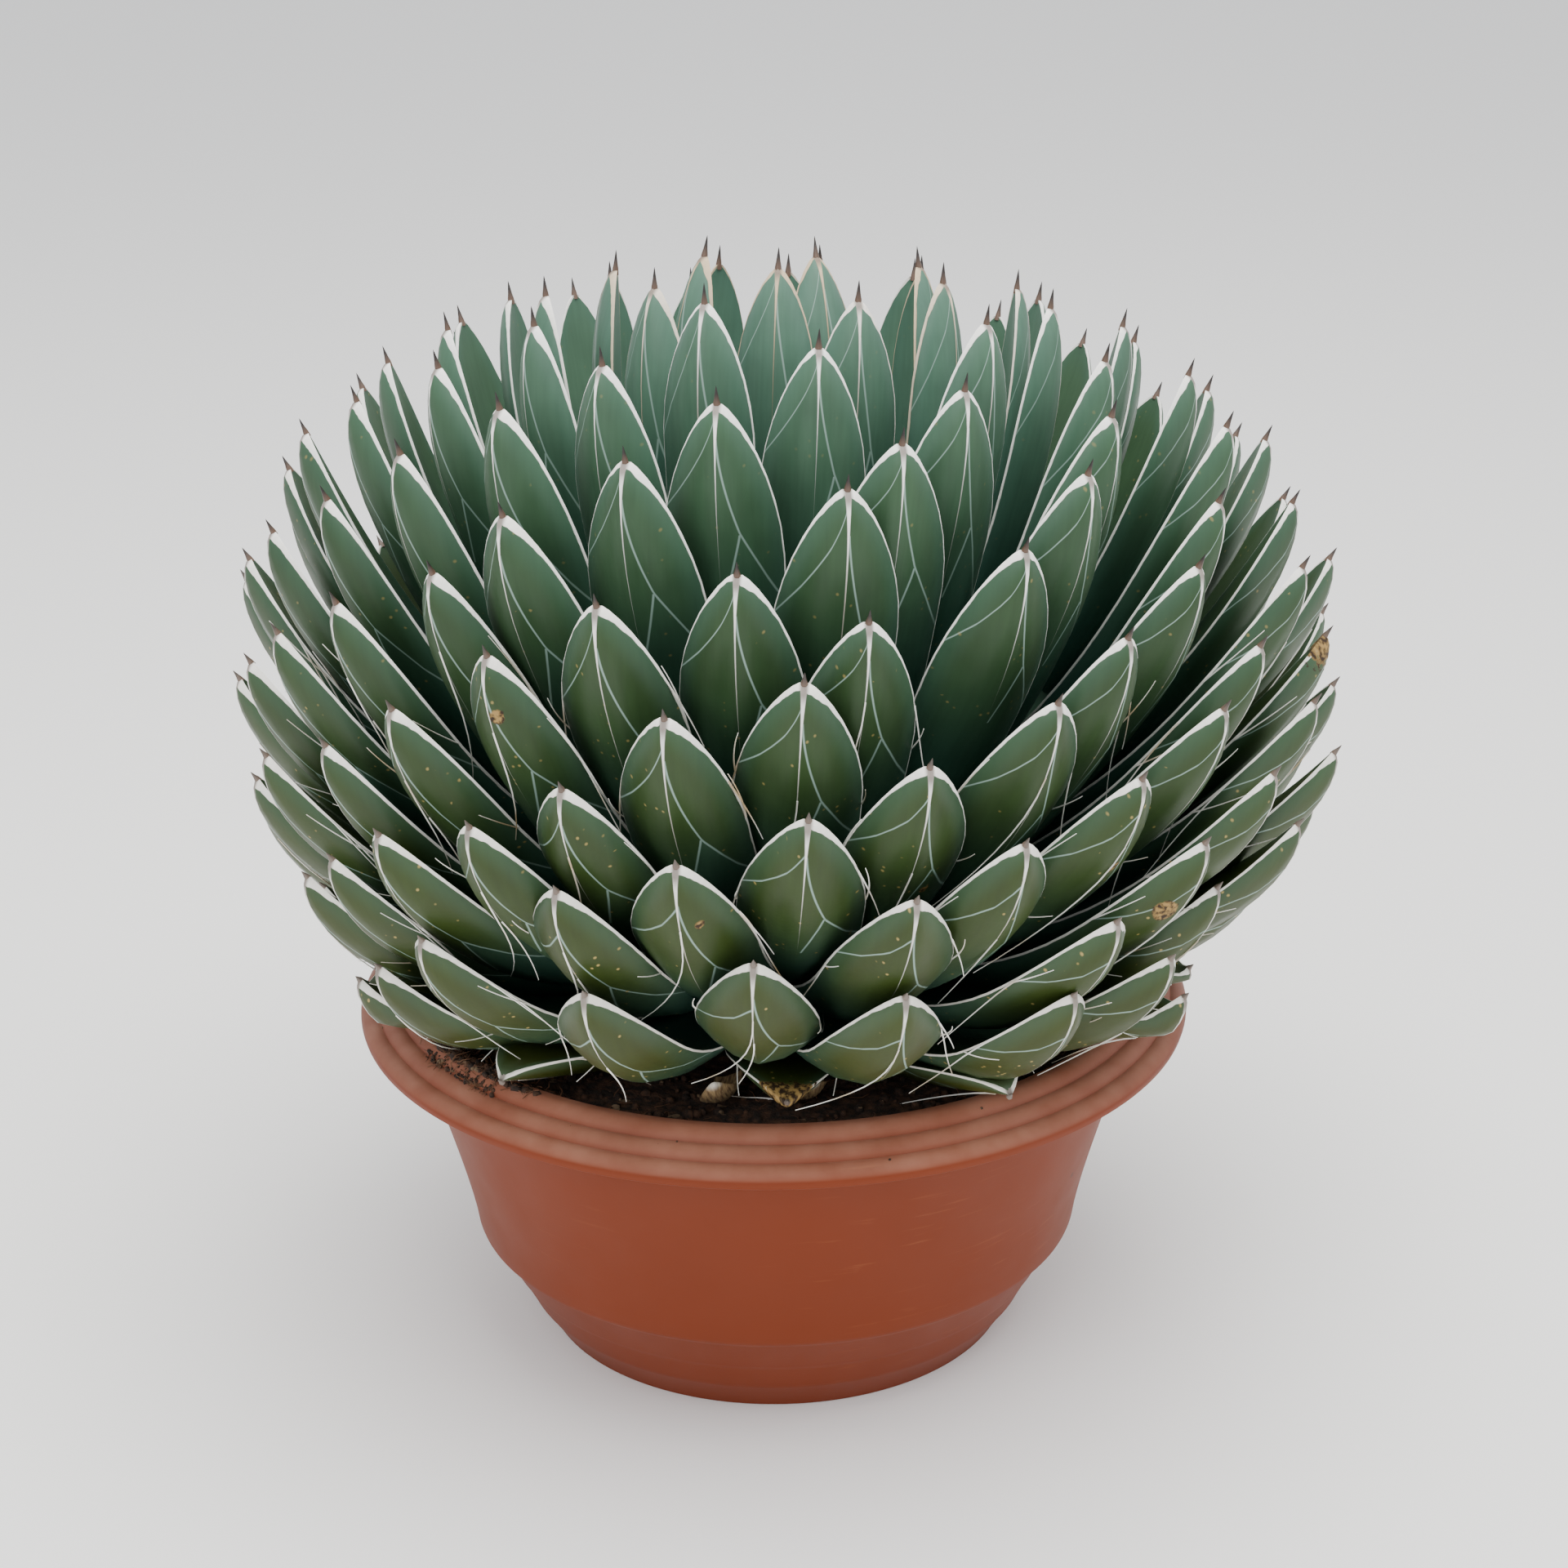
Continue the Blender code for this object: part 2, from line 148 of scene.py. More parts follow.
def makeStudio():
    size = studio["floorSize"] / 2
    corners = [(-size, -size, 0), (size, -size, 0), (size, size, 0), (-size, size, 0)]
    material, tree, shader = newMaterial("paintedStudioFloor")  # flat pale paint, no gloss
    shader.inputs["Base Color"].default_value = hexLinear(studio["floorHex"])
    shader.inputs["Roughness"].default_value = 0.9
    floor = linkObject("floor", meshFrom("floor", corners, [(0, 1, 2, 3)]), material)
    world = bpy.data.worlds.new("studio")
    world.use_nodes = True
    sky = world.node_tree.nodes["Background"]
    sky.inputs["Color"].default_value = hexLinear(studio["worldHex"])
    sky.inputs["Strength"].default_value = studio["worldPower"]
    bpy.context.scene.world = world
    for name, (place, size, watts, code) in studio["lamps"].items():
        data = bpy.data.lights.new(name, "AREA")
        data.size = size
        data.energy = watts
        data.color = hexLinear(code)[:3]
        lamp = bpy.data.objects.new(name, data)
        lamp.location = place
        lamp.rotation_euler = (Vector((0, 0, 0.25)) - Vector(place)).to_track_quat("-Z", "Y").to_euler()
        bpy.context.scene.collection.objects.link(lamp)


makeCamera()
makeStudio()
print("camera and light set")


# the spiral rule, with the same sizes as the solids

rosette = {
    "leafCount": 226,
    "divergence": math.radians(137.6385),
    "firstTurn": math.radians(302.5),
    "crownHeight": 476.5 * mm,
    "crownDip": 10 * mm,
    "crownTilt": 0.1,
    "crownShare": 0.35,
    "crownReach": 228 * mm,
    "girthReach": 288 * mm,
    "girthHeight": 292 * mm,
    "skirtReach": 175 * mm,
    "skirtHeight": 157 * mm,
    "spacingPower": 0.53,
    "spacingEase": -0.33,
    "budCount": 10,
    "budReach": 16 * mm,
    "budHeight": 446 * mm,
    "budDrop": 8 * mm,
    "stemPlace": Vector((2.4 * mm, -5.8 * mm, 160 * mm)),
    "leanBack": math.radians(5.6),
    "leanRight": math.radians(1.9),
    "topRoot": 252 * mm,
    "lowRoot": 163 * mm,
    "rootReach": 40 * mm,
    "turnJitter": math.radians(1.0),
    "reachJitter": 0.015,
    "twistJitter": math.radians(4),
    "seed": 19,
    # low leaves trimmed away, and leaves off their place: turned (degrees), raised (mm), lengthened (mm)
    "trimmed": (3, 5, 8, 13, 16, 21, 24, 39, 55, 58, 63),
    "offPlace": {
        0: (0, -14, -8), 11: (1, -26, -20), 18: (0, 0, -13), 27: (0, -8, -12), 29: (1, -40, -54),
        31: (0, 0, -14), 34: (0, 9, 0), 37: (-1, 8, 0), 40: (0, 0, -10), 42: (1, 7, 0), 45: (0, 6, 0),
        50: (6.3, 10, 0), 52: (0, 0, -13), 60: (0, 0, -12), 68: (0, -6, 0), 71: (-3, 4, 0), 92: (0, -7, 0),
        100: (0, -5, -5), 105: (-2, -6, 0), 118: (-2, 3, 0), 123: (2.5, 0, 0), 126: (0, 7, 0),
        131: (-1.5, -3, 0), 139: (0, 9, 0), 144: (-5.5, 0, 0), 152: (2.4, 0, 0), 160: (-1.5, -2, 0),
        165: (2.3, 8, 0), 186: (-2, 0, 0), 207: (0, 4, 0),
    },
}


def domePoint(share):
    rule = rosette
    if share < 0:
        part = -share * rule["leafCount"] / rule["budCount"]
        return Vector((rule["budReach"] * (1 - part), 0, rule["budHeight"] - rule["budDrop"] * part))
    t = share ** rule["spacingPower"]
    t = t * (1 + rule["spacingEase"] * (1 - t))
    back = 1 - t
    reach = 3 * t * back * back * rule["crownReach"] + 3 * t * t * back * rule["girthReach"]
    reach += t ** 3 * rule["skirtReach"]
    height = (back ** 3 + 3 * t * back * back) * rule["crownHeight"] - back ** 3 * rule["crownDip"]
    height += 3 * t * t * back * rule["girthHeight"] + t ** 3 * rule["skirtHeight"]
    return Vector((reach, 0, height))


def rootPoint(share):
    share = max(0.0, share)
    height = rosette["lowRoot"] + (rosette["topRoot"] - rosette["lowRoot"]) * (1 - share)
    return Vector((rosette["rootReach"] * min(1.0, share * 2.5) ** 0.6, 0, height))


# one point for each leaf, which carries where the leaf starts, ends and faces
def leafPlaces():
    draw = random.Random(rosette["seed"])
    extra = random.Random(rosette["seed"] + 1)
    soil = Vector((0, 0, rosette["stemPlace"].z))
    places = []
    for number in range(rosette["leafCount"] + rosette["budCount"]):
        if number in rosette["trimmed"]:
            continue
        share = (rosette["leafCount"] - number - 0.5) / rosette["leafCount"]
        moreTurn, rise, moreReach = rosette["offPlace"].get(number, (0, 0, 0))
        turn = rosette["firstTurn"] - rosette["divergence"] * number + math.radians(moreTurn)
        turn += draw.uniform(-1, 1) * rosette["turnJitter"]
        twist = draw.uniform(-1, 1) * rosette["twistJitter"]
        root = rootPoint(share) - soil
        age = max(0.0, share)
        tip = domePoint(share) - soil + Vector((moreReach, 0, rise)) * mm
        tip.z -= rosette["crownTilt"] * tip.x * math.sin(turn) * max(0.0, 1 - age / rosette["crownShare"])
        tip = root + (tip - root) * (1 + draw.uniform(-1, 1) * rosette["reachJitter"])
        places.append({
            "rootAt": root,
            "tipAt": tip,
            "turn": turn,
            "twist": twist,
            "leafScale": 0.62 + 0.38 * min(1.0, age / 0.2),
            "share": age,
            "number": float(number),
            "spineLength": 1 - 0.75 * age,
            "leafRandom": extra.random(),
        })
    return places


# a mesh of one vertex for each row, with the row's values as attributes
def rowMesh(name, rows, places=None, faces=()):
    mesh = bpy.data.meshes.new(name)
    mesh.from_pydata(places or [(0, 0, 0)] * len(rows), [], faces)
    for key, sample in rows[0].items():
        if isinstance(sample, Vector):
            layer = mesh.attributes.new(key, "FLOAT_VECTOR", "POINT")
            layer.data.foreach_set("vector", [c for row in rows for c in row[key]])
        else:
            layer = mesh.attributes.new(key, "FLOAT", "POINT")
            layer.data.foreach_set("value", [row[key] for row in rows])
    return mesh


# a vertex of a mesh in leaf space: part of the way along and across a leaf, then metres off that spot
def leafSpot(along, across=0.0, up=0.0, side=0.0, beyond=0.0, back=0.0):
    return {"along": along, "across": across, "up": up, "side": side, "beyond": beyond, "back": back}


def leafSpaceMesh(name, rows, faces):
    spots = [(row["along"], row["across"], row["up"] * 10) for row in rows]
    return rowMesh(name, rows, spots, faces)


blade = {
    "width": 48 * mm,
    "thick": 14 * mm,
    "hollow": 1.8 * mm,
    "margin": 0.35 * mm,       # half the thickness of the horny edge
    "youngTaper": 60 * mm,
    "oldTaper": 42 * mm,
    "keelTaper": 42 * mm,
    "rootBend": math.radians(32),
    "tipBend": math.radians(18),
    "oldBend": math.radians(27),
    "rootHandle": 0.33,
    "tipHandle": 0.42,
    "stations": 19,
    "start": 0.14,
    "front": (-1, -0.45, 0.45, 1),
    "back": (1, 0.74, 0.4, 0, -0.4, -0.74, -1),
    "layerStep": 0.15 * mm,
    "overSoil": 151.8 * mm,
    "rimFrom": 112 * mm,
    "rimSlope": 0.2711,
}


leafInputs = ("Width", "Thick", "Hollow", "Margin", "Young taper", "Old taper", "Keel taper", "Root bend",
              "Tip bend", "Old bend", "Root handle", "Tip handle", "Layer step")


# the node tree that bends a leaf-space mesh on to every leaf point
def makeLeafTree():
    tree = bpy.data.node_groups.new("bendLeaves", "GeometryNodeTree")
    face = tree.interface
    face.new_socket("Geometry", in_out="INPUT", socket_type="NodeSocketGeometry")
    face.new_socket("Pattern", in_out="INPUT", socket_type="NodeSocketObject")
    face.new_socket("Surface", in_out="INPUT", socket_type="NodeSocketMaterial")
    for name in leafInputs:
        face.new_socket(name, in_out="INPUT", socket_type="NodeSocketFloat")
    face.new_socket("Geometry", in_out="OUTPUT", socket_type="NodeSocketGeometry")
    given = tree.nodes.new("NodeGroupInput").outputs
    number = {}
    for name in ("turn", "twist", "leafScale", "share", "number", "spineLength",
                 "along", "across", "up", "side", "beyond", "back"):
        number[name] = addNode(tree, "GeometryNodeInputNamedAttribute", [name], data_type="FLOAT")
    root = addNode(tree, "GeometryNodeInputNamedAttribute", ["rootAt"], data_type="FLOAT_VECTOR")
    tip = addNode(tree, "GeometryNodeInputNamedAttribute", ["tipAt"], data_type="FLOAT_VECTOR")

    # midline: a cubic curve from root to tip, walked by repeated mixing
    chord = addNode(tree, "VectorMath SUBTRACT", [tip, root])
    length = addNode(tree, "VectorMath LENGTH", [chord])
    older = addNode(tree, "Math MULTIPLY", [number["share"], number["share"]])
    minus = addNode(tree, "Math MULTIPLY_ADD", [older, given["Old bend"], given["Tip bend"]])
    minus = addNode(tree, "Math MULTIPLY", [minus, -1.0])
    handles = []
    for part, angle in ((given["Root handle"], given["Root bend"]), (given["Tip handle"], minus)):
        handle = addNode(tree, "VectorMath SCALE", {"Vector": chord, "Scale": part})
        handles.append(addNode(tree, "VectorRotate", {"Vector": handle, "Angle": angle},
                               rotation_type="Y_AXIS"))
    outward, inward = handles
    first = addNode(tree, "VectorMath ADD", [root, outward])
    last = addNode(tree, "VectorMath SUBTRACT", [tip, inward])
    points = [root, first, last, tip]
    while len(points) > 1:
        ends = points
        points = [addNode(tree, "Mix", [number["along"], a, b], data_type="VECTOR", clamp_factor=False)
                  for a, b in zip(points, points[1:])]
    place = points[0]
    heading = addNode(tree, "VectorMath SUBTRACT", [ends[1], ends[0]])
    heading = addNode(tree, "VectorMath NORMALIZE", [heading])

    # half width: a blunt round end, widest past the taper, narrower at the root
    fromTip = addNode(tree, "Math SUBTRACT", [1.0, number["along"]])
    fromTip = addNode(tree, "Math MULTIPLY", [fromTip, length])
    taper = addNode(tree, "Mix", [number["share"], given["Young taper"], given["Old taper"]],
                    data_type="FLOAT")
    taper = addNode(tree, "Math MULTIPLY", [taper, number["leafScale"]])
    ends = []
    for reach in (taper, given["Keel taper"]):
        t = addNode(tree, "Math DIVIDE", [fromTip, reach], use_clamp=True)
        rest = addNode(tree, "Math SUBTRACT", [1.0, t])
        rest = addNode(tree, "Math MULTIPLY", [rest, rest])
        full = addNode(tree, "Math SUBTRACT", [1.0, rest])
        ends.append(addNode(tree, "Math SQRT", [full]))
    roundEnd, keelEnd = ends
    blunt = addNode(tree, "Math MULTIPLY_ADD", [roundEnd, 0.5, 0.5])
    blunt = addNode(tree, "Math MULTIPLY", [blunt, roundEnd])
    rootward = addNode(tree, "Math DIVIDE", [number["along"], 0.45], use_clamp=True)
    rootward = addNode(tree, "Math MULTIPLY_ADD", [rootward, 0.22, 0.78])
    half = addNode(tree, "Math MULTIPLY", [given["Width"], 0.5])
    for part in (number["leafScale"], blunt, rootward):
        half = addNode(tree, "Math MULTIPLY", [half, part])

    # section: a hollow face in front, a rounded keel behind, a thin horny edge between them
    keel = addNode(tree, "Math MULTIPLY", [keelEnd, given["Thick"]])
    keel = addNode(tree, "Math MULTIPLY", [keel, number["leafScale"]])
    off = addNode(tree, "Math ABSOLUTE", [number["across"]])
    bow = addNode(tree, "Math POWER", [off, 1.75])
    bow = addNode(tree, "Math SUBTRACT", [1.0, bow])
    square = addNode(tree, "Math MULTIPLY", [off, off])
    square = addNode(tree, "Math SUBTRACT", [1.0, square])
    behind = addNode(tree, "Math MULTIPLY_ADD", [bow, keel, given["Margin"]])
    behind = addNode(tree, "Math MULTIPLY", [behind, -1.0])
    dip = addNode(tree, "Math MULTIPLY", [given["Hollow"], blunt])
    dip = addNode(tree, "Math MULTIPLY", [square, dip])
    before = addNode(tree, "Math SUBTRACT", [given["Margin"], dip])
    rise = addNode(tree, "Mix", [number["back"], before, behind], data_type="FLOAT", clamp_factor=False)
    rise = addNode(tree, "Math ADD", [rise, number["up"]])
    sideways = addNode(tree, "Math MULTIPLY_ADD", [number["across"], half, number["side"]])

    # the leaf's own axes, turned by its twist
    facing = addNode(tree, "VectorMath CROSS_PRODUCT", [heading, (0, 1, 0)])
    axes = []
    for start in ((0, 1, 0), facing):
        axes.append(addNode(tree, "VectorRotate",
                            {"Vector": start, "Axis": heading,
                             "Angle": number["twist"]}, rotation_type="AXIS_ANGLE"))
    shift = addNode(tree, "VectorMath SCALE", {"Vector": axes[0], "Scale": sideways})
    lift = addNode(tree, "VectorMath SCALE", {"Vector": axes[1], "Scale": rise})
    beyond = addNode(tree, "Math MULTIPLY", [number["beyond"], number["spineLength"]])
    past = addNode(tree, "VectorMath SCALE", {"Vector": heading, "Scale": beyond})
    spot = addNode(tree, "VectorMath ADD", [place, shift])
    spot = addNode(tree, "VectorMath ADD", [spot, lift])
    spot = addNode(tree, "VectorMath ADD", [spot, past])

    # round the stem, then lean the whole rosette; the midline goes the same way, to see what it must clear
    stood = []
    for start in (spot, place):
        turned = addNode(tree, "VectorRotate", {"Vector": start, "Angle": number["turn"]},
                         rotation_type="Z_AXIS")
        back = addNode(tree, "VectorRotate", {"Vector": turned, "Angle": -rosette["leanBack"]},
                       rotation_type="X_AXIS")
        right = addNode(tree, "VectorRotate", {"Vector": back, "Angle": rosette["leanRight"]},
                        rotation_type="Y_AXIS")
        stood.append(addNode(tree, "VectorMath ADD", [right, tuple(rosette["stemPlace"])]))
    flat = addNode(tree, "VectorMath MULTIPLY", [stood[1], (1, 1, 0)])
    distance = addNode(tree, "VectorMath LENGTH", [flat])
    height = addNode(tree, "SeparateXYZ", [stood[1]]).node.outputs["Z"]
    overRim = addNode(tree, "Math SUBTRACT", [distance, blade["rimFrom"]])
    overRim = addNode(tree, "Math MAXIMUM", [overRim, 0.0])
    clear = addNode(tree, "Math MULTIPLY_ADD", [overRim, blade["rimSlope"], blade["overSoil"]])
    clear = addNode(tree, "Math MULTIPLY_ADD", [number["number"], given["Layer step"], clear])
    clear = addNode(tree, "Math ADD", [clear, keel])
    short = addNode(tree, "Math SUBTRACT", [clear, height])
    short = addNode(tree, "Math SMOOTH_MAX", [short, 0.0, 4 * mm])
    raised = addNode(tree, "CombineXYZ", {"Z": short})
    final = addNode(tree, "VectorMath ADD", [stood[0], raised])

    # geometry: one pattern on each point, made real, bent, and told its real sizes for the surface
    shape = addNode(tree, "GeometryNodeObjectInfo", [given["Pattern"]]).node.outputs["Geometry"]
    flow = addNode(tree, "GeometryNodeInstanceOnPoints", {"Points": given["Geometry"], "Instance": shape})
    flow = addNode(tree, "GeometryNodeRealizeInstances", [flow])
    inMm = {}
    inMm["fromTip"] = addNode(tree, "Math MULTIPLY", [fromTip, 1000.0])
    inMm["acrossMm"] = addNode(tree, "Math MULTIPLY", [sideways, 1000.0])
    edge = addNode(tree, "Math SUBTRACT", [1.0, off])
    edge = addNode(tree, "Math MULTIPLY", [edge, half])
    inMm["edgeMm"] = addNode(tree, "Math MULTIPLY", [edge, 1000.0])
    for name, value in inMm.items():
        flow = addNode(tree, "GeometryNodeStoreNamedAttribute",
                       {"Geometry": flow, "Name": name, "Value": value},
                       data_type="FLOAT", domain="POINT")
    flow = addNode(tree, "GeometryNodeSetPosition", {"Geometry": flow, "Position": final})
    flow = addNode(tree, "GeometryNodeRealizeInstances", [flow])
    flow = addNode(tree, "GeometryNodeSetMaterial", {"Geometry": flow, "Material": given["Surface"]})
    result = tree.nodes.new("NodeGroupOutput")
    tree.links.new(flow, result.inputs[0])
    return tree


# runs a tree on an object with inputs given by name, and returns the result as a plain mesh
def bakeTree(tree, carrier, values):
    modifier = carrier.modifiers.new("rule", "NODES")
    modifier.node_group = tree
    for item in tree.interface.items_tree:
        if item.in_out == "INPUT" and item.name in values:
            modifier[item.identifier] = values[item.name]
    bpy.context.view_layer.update()
    graph = bpy.context.evaluated_depsgraph_get()
    mesh = bpy.data.meshes.new_from_object(carrier.evaluated_get(graph), preserve_all_data_layers=True,
                                           depsgraph=graph)
    carrier.modifiers.remove(modifier)
    return mesh


def ringFaces(count, around, closed=True):
    faces = []
    for i in range(count - 1):
        for j in range(around):
            k = (j + 1) % around
            faces.append((i * around + j, i * around + k, (i + 1) * around + k, (i + 1) * around + j))
    if closed:
        faces.append(tuple(reversed(range(around))))
        faces.append(tuple(range((count - 1) * around, count * around)))
    return faces


# vertices and faces of a body turned round Z from (radius, height) points; radius 0 closes it
def turned(outline, sides):
    verts = []
    rings = []
    for radius, height in outline:
        count = sides if radius > 1e-6 else 1
        rings.append(range(len(verts), len(verts) + count))
        for k in range(count):
            turn = 2 * math.pi * k / sides
            verts.append((radius * math.cos(turn), radius * math.sin(turn), height))
    faces = []
    for low, high in zip(rings, rings[1:]):
        for k in range(sides):
            after = (k + 1) % sides
            if len(low) == 1:
                faces.append((low[0], high[after], high[k]))
            elif len(high) == 1:
                faces.append((low[k], low[after], high[0]))
            else:
                faces.append((low[k], low[after], high[after], high[k]))
    return verts, faces


def bladeMesh():
    rows = []
    for i in range(blade["stations"]):
        part = i / (blade["stations"] - 1)
        along = 1 - (1 - blade["start"]) * (1 - part) ** 1.7 - 0.002
        for across in blade["front"]:
            rows.append(leafSpot(along, float(across)))
        for across in blade["back"]:
            rows.append(leafSpot(along, float(across), back=1.0))
    return leafSpaceMesh("bladePattern", rows,
                         ringFaces(blade["stations"], len(blade["front"]) + len(blade["back"])))


spine = {"sides": 6, "rings": ((-2.5, 1.5), (0.3, 1.3), (2.3, 0.9), (4.8, 0.55), (7.0, 0.25), (8.0, 0.05))}


# a thorn that grows out of the tip: rings of (millimetres past the tip, radius)
def spineMesh():
    rows = []
    for past, radius in spine["rings"]:
        for j in range(spine["sides"]):
            turn = 2 * math.pi * j / spine["sides"]
            rows.append(leafSpot(1.0, up=radius * mm * math.sin(turn) - 0.9 * mm,
                                 side=radius * mm * math.cos(turn), beyond=past * mm))
    return leafSpaceMesh("spinePattern", rows, ringFaces(len(spine["rings"]), spine["sides"]))


# loose threads of the horny edge: where each starts along the leaf and at which edge, how far it runs
# towards the tip (+) or the root (-), how far it stands off behind and aside (mm), and the power that
# bends it
threads = {
    "thickness": 0.4 * mm,
    "steps": 9,
    "sides": 3,
    "kinds": (
        (0.79, 1, 0.13, 5, 6, 1.1),
        (0.80, -1, 0.12, 6, -7, 1.1),
        (0.76, -1, 0.10, 9, -3, 1.0),
        (0.90, 0, -0.32, 9, -26, 2.1),
        (0.86, -1, -0.26, 14, -9, 2.0),
        (0.84, 1, -0.20, 12, 11, 1.6),
        (0.82, 0, -0.20, 8, -7, 2.0),
        (0.88, 1, -0.12, 4, 6, 1.3),
        (0.74, 1, 0.09, 9, 2, 1.0),
    ),
}


def threadMesh(name, start, edge, run, behind, aside, power):
    rows = []
    for i in range(threads["steps"]):
        part = i / (threads["steps"] - 1)
        radius = threads["thickness"] * (1 - 0.55 * part)
        for j in range(threads["sides"]):
            turn = 2 * math.pi * j / threads["sides"]
            up = radius * math.sin(turn) - behind * mm * part ** power
            side = radius * math.cos(turn) + aside * mm * part ** power
            rows.append(leafSpot(start + run * part, edge * 0.99, up, side, back=1.0 if edge == 0 else 0.5))
    return leafSpaceMesh(name, rows, ringFaces(threads["steps"], threads["sides"]))


# dead low leaves and sheaths: turn (degrees), reach of root and tip, height of the tip, width
sheaths = {
    "places": ((-101, 100, 139, 158, 0.34), (-84, 98, 131, 157, 0.3), (-42, 118, 146, 163, 0.32),
               (-150, 112, 136, 160, 0.3), (64, 104, 138, 160, 0.35)),
}


def sheathPlaces():
    stem = rosette["stemPlace"].z
    rows = []
    for turn, root, tip, height, width in sheaths["places"]:
        rows.append({
            "rootAt": Vector((root * mm, 0, 152 * mm - stem)),
            "tipAt": Vector((tip * mm, 0, height * mm - stem)),
            "turn": math.radians(turn), "twist": 0.5, "leafScale": width, "share": 1.0, "number": -12.0,
            "spineLength": 0.1, "leafRandom": 0.5,
        })
    return rows


marked = {
    # wounds: leaf, millimetres from its tip, millimetres across, size
    "scabs": ((81, 24, -6, 4.6), (102, 32, 2, 2.4), (110, 55, 9, 2.0), (84, 20, 7, 1.6), (126, 17, 3, 2.6)),
    # tips that dried back: leaf, how far
    "driedTips": ((29, 9), (120, 8)),
}


flesh = {
    # the youngest leaves at 0, the oldest at 1
    # young crown leaves bluer and lighter, old low leaves darker olive: partly their own colour, partly
    # painted light, top light and sheen on the crown and shade on the low leaves
    "stops": ((0.0, "4f705f"), (0.17, "38543c"), (0.32, "2b4226"), (0.62, "2e3d14"), (1.0, "363c12")),
    # painted shade: between these distances from the tip the leaves darken towards the root, to the shade
    # colour below
    "rootShadeFrom": 30.0,          # millimetres from the tip, as all lengths in these dictionaries
    "rootShadeTo": 120.0,
    "rootShadeShare": 0.85,
    "rootShadeHex": "30544b",
    "bloomWidth": 4.0,
    "bloomHex": "4a6f62",
    "fleckHex": "a08c52",
    "fleckSize": 2.5,
}

# prints of other leaves' edges: an arc on the left, on the right a line that forks
printed = {
    "hex": "8ea69c",
    "patchHex": "36594f",
    "arcEnd": 40.0,
    "arcStart": (2.0, 15.0),   # on a leaf of the middle and on the oldest
    "arcPower": 1.25,
    "arcWidth": 0.5,
    "lineStart": 10.0,
    "lineWidth": 0.34,
    "fork": 44.0,
    "forkAcross": 0.37,        # of the half width
    "lineEnd": 82.0,
    "branchEnd": 72.0,
    "branchAcross": 0.0585,
}

# the white horn: as wide as cap + line at the tip, and only the line far from it
horny = {
    "youngHex": "f4f3ee",
    "oldHex": "dcd8cd",
    "heartHex": "b99d70",
    "tanHex": "a08a63",
    "stainHex": "6b5f57",
    "cap": 2.6,
    "line": 0.34,
    "fade": 6.0,
    "frontShare": 0.6,
    "keelCap": 1.1,
    "keelLine": 0.34,
    "keelLength": (38.0, 73.0),
}


